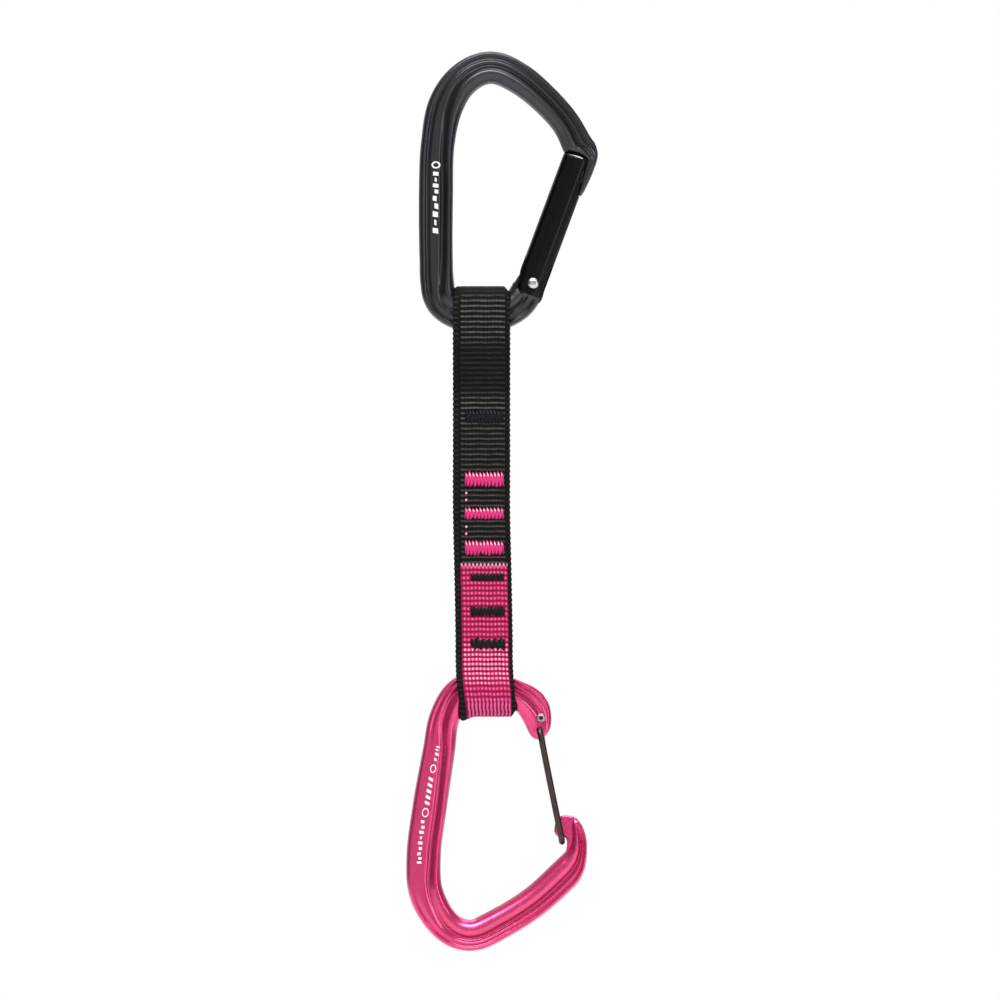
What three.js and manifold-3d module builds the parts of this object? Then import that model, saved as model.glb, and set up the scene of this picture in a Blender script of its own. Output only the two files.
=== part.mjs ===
// Climbing quickdraw: a bolt-end carabiner with a solid gate and a rope-end carabiner with a
// wire gate, joined by a sewn webbing sling. Millimetres, hanging along Z, gates towards +X.
// The origin is the bearing point of the bolt-end carabiner's top basket.
import * as THREE from 'three';
import { mergeVertices } from 'three/addons/utils/BufferGeometryUtils.js';
import { ParametricGeometry } from 'three/addons/geometries/ParametricGeometry.js';
import Module from 'manifold-3d';

const wasm = await Module();
wasm.setup();

// ---- driving dimensions ----
const gap = 0.3; // air kept between pieces that touch
const slack = 0.35; // running clearance of the moving pieces

const webWidth = 20;
const webThick = 1.5;
const slingX = -2.9; // centre line of the sling
const slingLength = 150.8; // outside of the upper eye to outside of the lower eye
const eyeRoom = 1; // each side, between the webbing and the bar that it wraps
const eyeCorner = 1.7; // how far the webbing's edges curl in where it turns over
const loopDrift = 2.4; // the lower eye sits this far towards the hinge side of its bar
const sewnTop = 39.3; // top of the stacked layers, below the outside of the upper eye
const sewnBottom = 22.7; // bottom of the stacked layers, above the outside of the lower eye
const twistPlane = 73.3; // where the sling's two halves meet, below the outside of the upper eye
const stitchWidth = 13.5;
const stitchThick = 0.7;
const stitchHole = 1.5; // square opening for the threads
const threadWidth = 0.9;

const upperInside = 76.8; // top bearing surface to bottom bearing surface
const upperDepth = 9.4; // front to back at the baskets
const upperTopBar = 11.6;
const upperGateBar = 10.3;
const upperSpineBar = 12;
const upperBottomBar = 10.7;
const eyeSeat = 6.1; // outside of the upper eye above the bottom bearing surface

const noseX = 25.9; // inner corner of the nose, where the solid gate closes
const noseDrop = 24;
const pinReach = 8; // solid gate's rivet, out from the sling's edge
const pinRise = 7; // and above the bottom bearing surface
const pinRadius = 1.45;
const rivetHead = pinRadius + 0.5;
const gateInner = 5.85; // rivet's axis to the gate's inner face
const gateOuter = 4.6;
const gateDepth = 10;
const gateHeel = 4.85; // radius of the gate's lower end
const gateCorner = 1.2; // rounding of its inner lower corner
const cornerRise = 1.5; // that rounding's centre, above the rivet
const tongueDepth = 4;
const camLow = 3.9; // tongue's radius under the plunger, gate closed
const camRise = 1; // and how much it grows over the opening angle
const gateOpening = 30;
const plungerRadius = 1.6;
const springWire = 0.55;
const springLength = 13;

const lowerInside = 76; // top bar's inner face to the rope basket's bearing surface
const lowerDepth = 9.4;
const lowerTopBar = 11.2;
const lowerSpineBar = 12;
const lowerBasketBar = 11.5;
const lowerArmBar = 10.9; // towards the nose
const keeperThick = 3.3;
const keeperWidth = webWidth - 8.4;

const wireRadius = 1.1;
const wireOpening = 33;
const wireHoleSpread = 4.3; // between the wire gate's two pivot holes
const wireSpan = 3.6; // half the distance between the legs at the nose
const wireLength = 41.8; // pivot to crossbar
const wireLean = 10.4; // the closed wire gate leans this far from upright
const lobeRadius = 5;
const lobeDepth = 6.4;
const hookDepth = 4.2;

// ---- places worked out from them ----
const eyeTopZ = -upperInside + eyeSeat; // outside of the upper eye
const eyeBottomZ = eyeTopZ - slingLength;
const layerY = webThick + gap; // middle of the front and back layers where they are stacked
const upperEyeHalf = upperDepth / 2 + eyeRoom + webThick / 2;
const lowerEyeHalf = lowerDepth / 2 + eyeRoom + webThick / 2;
const eyeHalfWidth = webWidth / 2 - eyeCorner;
const pinX = slingX + webWidth / 2 + pinReach;
const pinZ = -upperInside + pinRise;
const lowerTopZ = eyeBottomZ + webThick + gap + keeperThick + gap; // top bar's inner face
const lowerBasketZ = lowerTopZ - lowerInside;
const lobeX = slingX + webWidth / 2 + 9.2;
const lobeZ = lowerTopZ - 8.5;
const wirePivotX = lobeX + 1.3;
const wirePivotZ = lobeZ + 0.7;

const black = { color: '#2b2b31', roughness: 0.42, metalness: 0.75 };
const magenta = { color: '#d32f70', roughness: 0.28, metalness: 0.8 };
const steel = { color: '#b9bbc0', roughness: 0.25, metalness: 1 };
const darkSteel = { color: '#56504d', roughness: 0.3, metalness: 1 };
const blackWeb = { color: '#2a2626', roughness: 0.9, metalness: 0 };
const pinkWeb = { color: '#cf2f6e', roughness: 0.85, metalness: 0 };
const rubber = { color: '#1c1c1d', roughness: 0.8, metalness: 0 };

const rad = THREE.MathUtils.degToRad;
const quickdraw = new THREE.Group();

// ---- helpers ----
function part(name, geometry, finish, parent = quickdraw) {
  const mesh = new THREE.Mesh(geometry, new THREE.MeshStandardMaterial(finish));
  mesh.name = name;
  parent.add(mesh);
  return mesh;
}

// merges shared corners and drops the flat triangles that this leaves
function weld(geometry) {
  const bare = geometry.clone();
  bare.deleteAttribute('normal');
  bare.deleteAttribute('uv');
  const merged = mergeVertices(bare, 1e-4);
  const corners = merged.index.array;
  const kept = [];
  for (let i = 0; i < corners.length; i += 3) {
    const [a, b, c] = [corners[i], corners[i + 1], corners[i + 2]];
    if (a !== b && b !== c && c !== a) kept.push(a, b, c);
  }
  merged.setIndex(kept);
  return merged;
}

// a closed body through a row of cross-sections, its two ends closed to their middles
function skin(sections) {
  const sides = sections[0].length;
  const middle = (ring) => ring.reduce((sum, p) => sum.add(p), new THREE.Vector3()).divideScalar(sides);
  const rows = [Array(sides).fill(middle(sections[0])), ...sections, Array(sides).fill(middle(sections.at(-1)))];
  const place = (u, v, target) => {
    target.copy(rows[Math.round(v * (rows.length - 1))][Math.round(u * sides) % sides]);
  };
  return facingOut(weld(new ParametricGeometry(place, sides, rows.length - 1)));
}

// turns the triangles over if the volume that they enclose comes out negative
function facingOut(geometry) {
  const { position } = geometry.attributes;
  const corners = geometry.index.array;
  const at = (i) => new THREE.Vector3().fromBufferAttribute(position, corners[i]);
  let volume = 0;
  for (let i = 0; i < corners.length; i += 3) volume += at(i).dot(at(i + 1).cross(at(i + 2)));
  if (volume < 0) geometry.setIndex(Array.from(corners).reverse());
  return geometry;
}

function toSolid(geometry) {
  const { position } = weld(geometry).attributes;
  const triVerts = new Uint32Array(weld(geometry).index.array);
  return new wasm.Manifold(new wasm.Mesh({ numProp: 3, vertProperties: position.array, triVerts }));
}

function toGeometry(solid) {
  const { vertProperties, triVerts } = solid.getMesh();
  const geometry = new THREE.BufferGeometry();
  geometry.setAttribute('position', new THREE.BufferAttribute(new Float32Array(vertProperties), 3));
  geometry.setIndex(Array.from(triVerts));
  return geometry;
}

function joined(...geometries) {
  return toGeometry(geometries.map(toSolid).reduce((all, next) => all.add(next)));
}

function without(geometry, ...tools) {
  return toGeometry(tools.map(toSolid).reduce((rest, tool) => rest.subtract(tool), toSolid(geometry)));
}

// an outline in the XZ plane, given depth along Y and centred on it
function plate(outline, depth) {
  const shape = outline instanceof THREE.Shape ? outline : new THREE.Shape(outline.map(([x, z]) => new THREE.Vector2(x, z)));
  return new THREE.ExtrudeGeometry(shape, { depth, bevelEnabled: false, curveSegments: 20 })
    .rotateX(Math.PI / 2)
    .translate(0, depth / 2, 0);
}

// a rod along Y
function rod(radius, length, x = 0, z = 0, sides = 24) {
  return new THREE.CylinderGeometry(radius, radius, length, sides).translate(x, 0, z);
}

function box(x0, x1, y0, y1, z0, z1) {
  return new THREE.BoxGeometry(x1 - x0, y1 - y0, z1 - z0)
    .translate((x0 + x1) / 2, (y0 + y1) / 2, (z0 + z1) / 2);
}

function smooth(points) {
  return new THREE.CatmullRomCurve3(points.map((p) => new THREE.Vector3(...p)));
}

function round(radius, sides) {
  const at = (k) => new THREE.Vector2(radius, 0).rotateAround(new THREE.Vector2(), (2 * Math.PI * k) / sides);
  return new THREE.Shape(Array.from({ length: sides }, (_, k) => at(k)));
}

// ---- carabiner bodies ----
// Both sections go from the outer edge of the bar to the inner one, as
// [share of the bar's width, share of its depth].
const basketSection = [
  [0, 0.15], [0.08, 0.34], [0.15, 0.36], [0.2, 0.26], [0.29, 0.26], [0.34, 0.35],
  [0.43, 0.34], [0.5, 0.42], [0.68, 0.5], [0.88, 0.4], [1, 0.12],
];
const spineSection = [
  [0, 0.16], [0.08, 0.38], [0.19, 0.42], [0.23, 0.3], [0.3, 0.3], [0.34, 0.38],
  [0.66, 0.38], [0.7, 0.26], [0.8, 0.26], [0.86, 0.4], [1, 0.16],
];

// stations are [x, z, bar width, depth, 0 for basket to 1 for spine] along the inner edge
function carabinerBody(stations, rings) {
  const edge = smooth(stations.map(([x, z]) => [x, 0, z]));
  const sizes = smooth(stations.map(([, , bar, depth, flat]) => [bar, depth, flat]));
  const sections = [];
  for (let k = 0; k <= rings; k += 1) {
    const at = edge.getPoint(k / rings);
    const along = edge.getTangent(k / rings);
    const { x: bar, y: depth, z: flat } = sizes.getPoint(k / rings);
    const outward = new THREE.Vector3(along.z, 0, -along.x);
    const half = basketSection.map(([u, h], i) => {
      const across = THREE.MathUtils.lerp(u, spineSection[i][0], flat);
      const high = THREE.MathUtils.lerp(h, spineSection[i][1], flat);
      return at.clone().addScaledVector(outward, bar * (1 - across)).setY(-high * depth);
    });
    const back = half.map((p) => p.clone().setY(-p.y)).reverse();
    sections.push([...half, ...back]);
  }
  return skin(sections);
}

// ---- bolt-end carabiner ----
const gateLean = Math.atan2(noseX - pinX, -noseDrop - pinZ)
  + Math.asin(gateInner / Math.hypot(noseX - pinX, -noseDrop - pinZ));
const gateLength = Math.sqrt(Math.hypot(noseX - pinX, -noseDrop - pinZ) ** 2 - gateInner ** 2);

// sizes across and along the gate, seen from the rivet
const keyDepth = 5.2;
const neckDepth = 2.6;
const keyReach = 2.6; // past the rivet's line, towards the inside
const keyBottom = gateLength - 7.7;
const keyTop = gateLength - 4.2;
const tangTop = 1.8; // where the gate's top edge meets the nose's tang
const tangBottom = 4.2;
const tangLength = 12.1;
const slotTop = 6.6;
const boreX = -0.6;
const boreRadius = plungerRadius + 0.25;
const springFoot = 10.6;

// moves a piece from the gate's own axes to where the closed gate stands
function ontoGate(geometry) {
  return geometry.rotateY(gateLean).translate(pinX, 0, pinZ);
}

function upperFrame() {
  const left = slingX - webWidth / 2;
  const right = slingX + webWidth / 2;
  const low = -upperInside;
  const body = carabinerBody([
    [noseX, -noseDrop, 11, 8.2, 0],
    [22.5, -16.8, upperGateBar, 8.8, 0],
    [15.5, -9.1, upperGateBar + 0.3, upperDepth, 0],
    [7.1, -2.7, upperTopBar - 0.3, upperDepth, 0],
    [0, 0, upperTopBar, upperDepth, 0],
    [-5.8, -3.2, upperTopBar + 0.3, upperDepth, 0],
    [-9.8, -10, 12.5, upperDepth, 0.3],
    [left + 0.5, -21.5, upperSpineBar - 0.4, 8.6, 1],
    [left, low / 2, upperSpineBar, 8.2, 1],
    [left - 0.1, low + 16, upperSpineBar - 0.4, 8.4, 1],
    [left + 0.3, low + 8, upperSpineBar - 0.2, 8.8, 0.6],
    [slingX - eyeHalfWidth - gap, low + 3.6, upperBottomBar + 1, upperDepth, 0],
    [slingX, low, upperBottomBar, upperDepth, 0],
    [slingX + eyeHalfWidth + gap, low + 3.6, 11.2, upperDepth, 0],
    [right + 1.2, low + 7.5, 10.2, 8.8, 0],
  ], 62);
  const nose = ontoGate(plate([
    [-gateInner + 0.2, gateLength + slack],
    [tangTop + 0.1, gateLength + slack + 0.6],
    [tangBottom, gateLength - tangLength],
    [gateOuter + 0.5, gateLength - tangLength],
    [gateOuter + 1, gateLength + 1.4],
    [gateOuter + 0.6, gateLength + 3.9],
    [gateOuter - 0.6, gateLength + 5.8],
    [gateOuter - 2.6, gateLength + 8],
    [gateOuter - 6.6, gateLength + 7.4],
    [-gateInner + 0.6, gateLength + 3],
  ], 7.6));
  const key = ontoGate(joined(
    box(-keyReach, tangTop + 2.2, -keyDepth / 2, keyDepth / 2, keyBottom, keyTop),
    box(-keyReach, tangTop + 1.6, -neckDepth / 2, neckDepth / 2, keyTop - 0.5, gateLength + 1.4),
  ));
  const heelRoom = [rod(gateHeel + slack, upperDepth + 2, pinX, pinZ, 40)];
  for (let turn = 0; turn <= gateOpening; turn += gateOpening / 4) {
    const room = rod(gateCorner + slack, upperDepth + 2, -gateInner + gateCorner, cornerRise, 20);
    heelRoom.push(ontoGate(room.rotateY(-rad(turn))));
  }
  const tongue = ontoGate(plate(tongueOutline(), tongueDepth));
  const rivetHole = rod(pinRadius + gap, upperDepth, pinX, pinZ);
  return without(joined(without(joined(body, nose, key), ...heelRoom), tongue), rivetHole);
}

// The tongue's cam keeps its low radius up to the plunger's line and grows at a steady rate
// past it, so that the plunger is pushed in evenly as the gate opens.
function tongueOutline() {
  const rate = camRise / rad(gateOpening);
  const cam = (turn) => camLow + rate * THREE.MathUtils.clamp(turn, 0, rad(gateOpening + 8));
  const outline = [[3.4, -4.6]];
  for (let degrees = -90; degrees <= gateOpening + 30; degrees += 6) {
    const turn = rad(degrees);
    outline.push([-Math.sin(turn) * cam(turn), Math.cos(turn) * cam(turn)]);
  }
  outline.push([-5.7, 1], [-6.4, -3.5], [-3, -7.2]);
  return outline;
}

function upperGate() {
  const half = gateDepth / 2;
  const flank = 2.4;
  const section = new THREE.Shape([
    [-gateInner, -flank], [-gateInner + 1.6, -half + 0.6], [boreX, -half], [gateOuter - 2, -half + 0.7],
    [gateOuter, -flank], [gateOuter, flank], [gateOuter - 2, half - 0.7], [boreX, half],
    [-gateInner + 1.6, half - 0.6], [-gateInner, flank],
  ].map(([x, y]) => new THREE.Vector2(x, y)));
  const bar = new THREE.ExtrudeGeometry(section, { depth: gateLength, bevelEnabled: false });
  const heel = rod(gateHeel, gateDepth - 0.6, 0, 0, 40);
  const tangRoom = plate([
    [tangTop - slack, gateLength + 1], [tangBottom - slack - 0.1, gateLength - tangLength - slack],
    [gateOuter + 1, gateLength - tangLength - slack], [gateOuter + 1, gateLength + 1],
  ], gateDepth + 1);
  const belowHeel = box(-gateInner - 1, gateOuter + 1, -gateDepth, gateDepth, -1, cornerRise);
  const corner = rod(gateCorner, gateDepth - 0.6, -gateInner + gateCorner, cornerRise, 20);
  const lobe = joined(without(bar, belowHeel), heel, corner);
  const keySlack = slack + 0.15;
  return ontoGate(without(
    lobe,
    tangRoom,
    box(-keyReach - keySlack, gateOuter + 1, -keyDepth / 2 - slack, keyDepth / 2 + slack,
      keyBottom - keySlack, keyTop + keySlack),
    box(-keyReach - keySlack, gateOuter + 1, -neckDepth / 2 - slack, neckDepth / 2 + slack,
      keyTop, gateLength + 1),
    box(-gateInner - 1, gateOuter + 1, -tongueDepth / 2 - slack, tongueDepth / 2 + slack, -7, slotTop),
    new THREE.CylinderGeometry(boreRadius, boreRadius, springFoot + springLength, 20)
      .rotateX(Math.PI / 2).translate(boreX, 0, (springFoot + springLength) / 2 + gap),
    rod(pinRadius + gap, gateDepth + 2),
  ));
}

function upperGatePin() {
  const half = gateDepth / 2 + gap / 2;
  const dome = 0.9;
  const profile = [
    [0, -half - dome], [rivetHead * 0.6, -half - dome * 0.8], [rivetHead * 0.93, -half - dome * 0.35],
    [rivetHead, -half], [pinRadius, -half], [pinRadius, half], [rivetHead, half],
    [rivetHead * 0.93, half + dome * 0.35], [rivetHead * 0.6, half + dome * 0.8], [0, half + dome],
  ].map(([r, y]) => new THREE.Vector2(r, y));
  return new THREE.LatheGeometry(profile, 24).translate(pinX, 0, pinZ);
}

function upperGatePlunger() {
  const tip = camLow + gap + 0.1;
  const top = springFoot - gap;
  const profile = [
    [0, tip], [plungerRadius * 0.6, tip + 0.3], [plungerRadius, tip + 1.3], [plungerRadius, top], [0, top],
  ].map(([r, z]) => new THREE.Vector2(r, z));
  return ontoGate(new THREE.LatheGeometry(profile, 16).rotateX(Math.PI / 2).translate(boreX, 0, 0));
}

class Helix extends THREE.Curve {
  constructor(radius, turns, from, to) {
    super();
    Object.assign(this, { radius, turns, from, to });
  }

  getPoint(t, target = new THREE.Vector3()) {
    const turn = 2 * Math.PI * this.turns * t;
    const z = THREE.MathUtils.lerp(this.from, this.to, t);
    return target.set(this.radius * Math.cos(turn), this.radius * Math.sin(turn), z);
  }
}

function upperGateSpring() {
  const reach = springWire / 2 + gap;
  const coil = new Helix(boreRadius - reach, 7, springFoot + reach, springFoot + springLength - reach);
  const wire = new THREE.ExtrudeGeometry(round(springWire / 2, 6), { steps: 70, extrudePath: coil, bevelEnabled: false });
  return ontoGate(wire.translate(boreX, 0, 0));
}

// ---- rope-end carabiner ----
// moves a point from the wire gate's own axes to where the closed gate hangs
function alongWire(across, down) {
  const lean = rad(wireLean);
  return [
    wirePivotX + across * Math.cos(lean) + down * Math.sin(lean),
    wirePivotZ + across * Math.sin(lean) - down * Math.cos(lean),
  ];
}

const [crossX, crossZ] = alongWire(0, wireLength);
const upperHole = [wirePivotX + 0.25, wirePivotZ + wireHoleSpread / 2];
const lowerHole = [wirePivotX - 0.25, wirePivotZ - wireHoleSpread / 2];

function lowerFrame() {
  const left = slingX - webWidth / 2;
  const right = slingX + webWidth / 2;
  const body = carabinerBody([
    [right + 4.3, lowerTopZ - 7.9, 9.7, lobeDepth, 0],
    [right + 3.3, lowerTopZ - 3.4, 9.4, lobeDepth + 1, 0],
    [right - 0.6, lowerTopZ - 0.2, lowerTopBar - 1.6, lowerDepth, 0],
    [slingX, lowerTopZ + 0.2, lowerTopBar - 0.4, lowerDepth, 0],
    [left + 5.6, lowerTopZ - 1, lowerTopBar - 0.8, lowerDepth, 0],
    [left + 1.9, lowerTopZ - 7.6, lowerTopBar - 0.5, lowerDepth, 0.3],
    [left + 0.6, lowerTopZ - 18, lowerSpineBar - 0.8, 8.6, 1],
    [left - 2.3, lowerTopZ - 38, lowerSpineBar, 8.2, 1],
    [left - 4.3, lowerTopZ - 54, lowerSpineBar, 8.4, 1],
    [left - 3.5, lowerTopZ - 66, lowerSpineBar, 8.8, 0.6],
    [left + 1.6, lowerBasketZ + 1.7, lowerBasketBar, lowerDepth, 0],
    [slingX - 4.1, lowerBasketZ, lowerBasketBar, lowerDepth, 0],
    [slingX + 3.2, lowerBasketZ + 3, lowerBasketBar - 0.2, lowerDepth, 0],
    [slingX + 15.2, lowerBasketZ + 10.4, lowerArmBar, lowerDepth, 0],
    [crossX - 1.3, crossZ - 6.1, lowerArmBar, 8.6, 0],
  ], 62);
  const lobe = rod(lobeRadius, lobeDepth, lobeX, lobeZ, 36);
  const arm = plate([
    [crossX - 1.7, crossZ - 6.3], [crossX + 2.6, crossZ - 1.9], [crossX + 3.3, crossZ + 1],
    [crossX + 3.3, crossZ + 7.2], [crossX + 4.7, crossZ + 8.5], [crossX + 6.8, crossZ + 6.2],
    [crossX + 8.7, crossZ], [crossX + 8.7, crossZ - 5], [crossX + 7.5, crossZ - 8.9],
    [crossX + 6.5, crossZ - 12.3], [crossX + 5.5, crossZ - 14], [crossX + 1, crossZ - 12],
    [crossX - 0.5, crossZ - 8],
  ], 8.2);
  const hook = plate([
    [crossX + 1.6, crossZ - 4.5], [crossX + 1.7, crossZ + 0.6], [crossX + 0.6, crossZ + 1.7],
    [crossX - 1.5, crossZ + 1.75], [crossX - 2.5, crossZ + 2.8], [crossX - 2.3, crossZ + 6.4],
    [crossX, crossZ + 9], [crossX + 2.2, crossZ + 9.1], [crossX + 5, crossZ + 8],
    [crossX + 6, crossZ - 4],
  ], hookDepth);
  return without(joined(body, lobe, arm, hook), ...wireRoom());
}

// the pivot holes are lengthened along the short arcs that the stiff wire's ends travel
function wireRoom() {
  const tools = [];
  for (const [x, z] of [upperHole, lowerHole]) {
    for (let turn = 0; turn <= wireOpening; turn += wireOpening / 4) {
      const at = new THREE.Vector2(x, z).rotateAround(new THREE.Vector2(wirePivotX, wirePivotZ), -rad(turn));
      tools.push(rod(wireRadius + slack, lobeDepth + 6, at.x, at.y, 16));
    }
  }
  return tools;
}

// One bent wire: through the upper hole, down the back, across under the hook, up the front
// and through the lower hole.
function wireGate() {
  const out = lobeDepth / 2 + slack + wireRadius;
  const [topX, topZ] = upperHole;
  const [endX, endZ] = lowerHole;
  const [kneeX, kneeZ] = alongWire(-0.5, 9);
  const [shinX, shinZ] = alongWire(0, wireLength - 4);
  const path = smooth([
    [topX, -out + 0.6, topZ], [topX, 0, topZ], [topX, out - 1.2, topZ], [topX, out + 0.15, topZ - 1.2],
    [kneeX - 0.6, out + 0.1, kneeZ + 3.8], [kneeX, out, kneeZ],
    [shinX, wireSpan + 0.2, shinZ], [crossX - 0.2, wireSpan, crossZ + 1.6], [crossX, wireSpan - 1.6, crossZ],
    [crossX, 0, crossZ],
    [crossX, -wireSpan + 1.6, crossZ], [crossX - 0.2, -wireSpan, crossZ + 1.6], [shinX, -wireSpan - 0.2, shinZ],
    [kneeX, -out, kneeZ], [kneeX - 0.7, -out - 0.1, kneeZ + 3.6], [endX, -out + 1.2, endZ], [endX, 0, endZ],
    [endX, out - 0.8, endZ],
  ]);
  return new THREE.ExtrudeGeometry(round(wireRadius, 8), { steps: 104, extrudePath: path, bevelEnabled: false });
}

// ---- sling ----
// a flat strip that follows a route; stations are [y, z, width, how far it drifts along X]
function strip(stations, rings) {
  const route = smooth(stations.map(([y, z, , drift = 0]) => [drift, y, z]));
  const widths = smooth(stations.map(([, , width]) => [width, 0, 0]));
  const sections = [];
  for (let k = 0; k <= rings; k += 1) {
    const at = route.getPoint(k / rings);
    const along = route.getTangent(k / rings);
    const across = new THREE.Vector3(0, along.z, -along.y).setLength(webThick / 2);
    const half = new THREE.Vector3(widths.getPoint(k / rings).x / 2, 0, 0);
    const corner = (s, t) => at.clone().addScaledVector(half, s).addScaledVector(across, t);
    sections.push([corner(-1, -1), corner(1, -1), corner(1, 1), corner(-1, 1)]);
  }
  return skin(sections).translate(slingX, 0, 0);
}

// one side of an eye, from the stack to the turn, mirrored for the other side
function eye(side) {
  const back = side.slice(0, -1).reverse().map(([y, ...rest]) => [-y, ...rest]);
  return strip([...side, ...back], 36);
}

function webbingUpperLoop() {
  const crown = eyeTopZ - webThick / 2;
  const turned = webWidth - 2 * eyeCorner;
  const bottom = -upperInside - upperBottomBar;
  return eye([
    [layerY, eyeTopZ - sewnTop + gap, webWidth], [layerY + 0.5, bottom - 18.5, webWidth],
    [upperEyeHalf - 1.9, bottom - 9.5, webWidth], [upperEyeHalf, bottom, webWidth],
    [upperEyeHalf, crown - upperEyeHalf, webWidth],
    [upperEyeHalf * 0.87, crown - upperEyeHalf * 0.5, webWidth - 1.2],
    [upperEyeHalf * 0.5, crown - upperEyeHalf * 0.13, turned + 0.6], [0, crown, turned],
  ]);
}

function webbingLowerLoop() {
  const crown = eyeBottomZ + webThick / 2;
  const turned = webWidth - 2 * eyeCorner;
  const barZ = lowerTopZ + lowerTopBar / 2;
  return eye([
    [layerY, eyeBottomZ + sewnBottom - gap, webWidth], [layerY + 0.7, barZ + 9.6, webWidth],
    [lowerEyeHalf - 1.1, barZ + 5, webWidth, 0], [lowerEyeHalf, barZ, webWidth, 0.5],
    [lowerEyeHalf, barZ - 4.2, webWidth - 0.6, 1],
    [lowerEyeHalf * 0.74, crown + 2, turned + 0.4, loopDrift], [0, crown, turned, loopDrift],
  ]);
}

// row of bar tacks, top to bottom: [distance below the outside of the upper eye, height, thread]
const barTacks = [
  [45.7, 5.2, blackWeb], [67.4, 4.9, pinkWeb], [79.5, 4.2, pinkWeb], [91.4, 5.2, pinkWeb],
  [101.9, 2.1, blackWeb], [113.9, 3.2, blackWeb], [125.3, 3.2, blackWeb],
];
const threadPlaces = [-1, 0, 1].map((k) => slingX + k * (stitchWidth / 2 - 1.5));

// one layer of the stack, with openings for the threads that sew it
function layer(y, width, top, bottom) {
  const sheet = box(slingX - width / 2, slingX + width / 2, y - webThick / 2, y + webThick / 2, bottom, top);
  const sewn = barTacks.map(([drop]) => eyeTopZ - drop).filter((z) => z > bottom && z < top);
  const h = stitchHole / 2;
  const openings = sewn.flatMap((z) => threadPlaces.map((x) => box(x - h, x + h, y - webThick, y + webThick, z - h, z + h)));
  return without(sheet, ...openings);
}

function barTack(drop, height) {
  const z = eyeTopZ - drop;
  const face = layerY + webThick / 2 + gap / 2;
  const pad = (y0, y1) => box(slingX - stitchWidth / 2, slingX + stitchWidth / 2, y0, y1, z - height / 2, z + height / 2);
  const thread = (x) => box(x - threadWidth / 2, x + threadWidth / 2, -face - 0.2, face + 0.2,
    z - threadWidth / 2, z + threadWidth / 2);
  return joined(pad(-face - stitchThick, -face), pad(face, face + stitchThick), ...threadPlaces.map(thread));
}

function keeper() {
  const top = lowerTopZ - gap - 0.3;
  const low = eyeBottomZ + webThick + gap;
  const pad = [
    [-3.6, top], [-4, top - 1], [-2.7, low + 0.8], [0, low], [2.7, low + 0.8], [4, top - 1], [3.6, top],
  ];
  return plate(pad, keeperWidth).rotateZ(Math.PI / 2).translate(slingX + loopDrift + 0.8, 0, 0);
}

// ---- assembly ----
part('upper_frame', upperFrame(), black);
part('upper_gate', upperGate(), black);
part('upper_gate_pin', upperGatePin(), steel);
part('upper_gate_plunger', upperGatePlunger(), steel);
part('upper_gate_spring', upperGateSpring(), steel);

const stackTop = eyeTopZ - sewnTop;
const stackBottom = eyeBottomZ + sewnBottom;
const middle = eyeTopZ - twistPlane;
part('webbing_upper_loop', webbingUpperLoop(), blackWeb);
part('webbing_front_upper', layer(-layerY, webWidth, stackTop, middle + gap / 2), blackWeb);
part('webbing_back_upper', layer(layerY, webWidth, stackTop, middle + gap / 2), blackWeb);
part('webbing_end_upper', layer(0, webWidth - 1, stackTop - 2, middle + gap / 2), blackWeb);
part('webbing_front_lower', layer(-layerY, webWidth, middle - gap / 2, stackBottom), pinkWeb);
part('webbing_back_lower', layer(layerY, webWidth, middle - gap / 2, stackBottom), pinkWeb);
part('webbing_end_lower', layer(0, webWidth - 1, middle - gap / 2, stackBottom + 1), pinkWeb);
part('webbing_lower_loop', webbingLowerLoop(), pinkWeb);
barTacks.forEach(([drop, height, finish], i) => part(`bartack_${i + 1}`, barTack(drop, height), finish));
part('keeper', keeper(), rubber);

part('lower_frame', lowerFrame(), magenta);
part('wire_gate', wireGate(), darkSteel);

export default quickdraw;
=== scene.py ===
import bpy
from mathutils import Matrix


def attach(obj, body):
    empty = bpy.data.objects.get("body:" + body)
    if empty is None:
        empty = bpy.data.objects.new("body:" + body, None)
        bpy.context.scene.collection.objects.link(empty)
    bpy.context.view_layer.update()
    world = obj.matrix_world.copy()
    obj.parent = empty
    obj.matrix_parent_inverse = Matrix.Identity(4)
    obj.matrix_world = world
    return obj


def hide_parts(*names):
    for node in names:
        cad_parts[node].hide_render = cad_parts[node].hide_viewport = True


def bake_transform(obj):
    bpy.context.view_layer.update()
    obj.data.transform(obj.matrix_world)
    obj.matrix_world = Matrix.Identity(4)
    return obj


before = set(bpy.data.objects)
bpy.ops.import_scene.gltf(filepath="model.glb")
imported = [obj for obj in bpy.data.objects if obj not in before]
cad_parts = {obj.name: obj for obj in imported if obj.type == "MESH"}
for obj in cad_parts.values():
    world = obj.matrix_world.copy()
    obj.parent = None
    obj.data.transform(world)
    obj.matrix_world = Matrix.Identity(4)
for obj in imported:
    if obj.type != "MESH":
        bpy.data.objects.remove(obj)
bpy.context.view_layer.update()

import math

import bpy
import numpy as np
from mathutils import Vector

scene = bpy.context.scene
scene.view_settings.view_transform = "Standard"
print("quickdraw: frame loaded,", len(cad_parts), "nodes")

# Lengths are millimetres from here on. x runs right, y away from the camera, z up, and the
# origin is where an anchor bears in the upper body.
metres = 0.001

# camera
view = {
    "lens": 300.0,
    "sensor": 36.0,
    "frameWidth": 350.0,     # how much of the object's plane the frame takes in
    "centre": (3.5, -145.6),
    "floorDrop": 450.0,
    "floorRadius": 1500.0,
}


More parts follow.
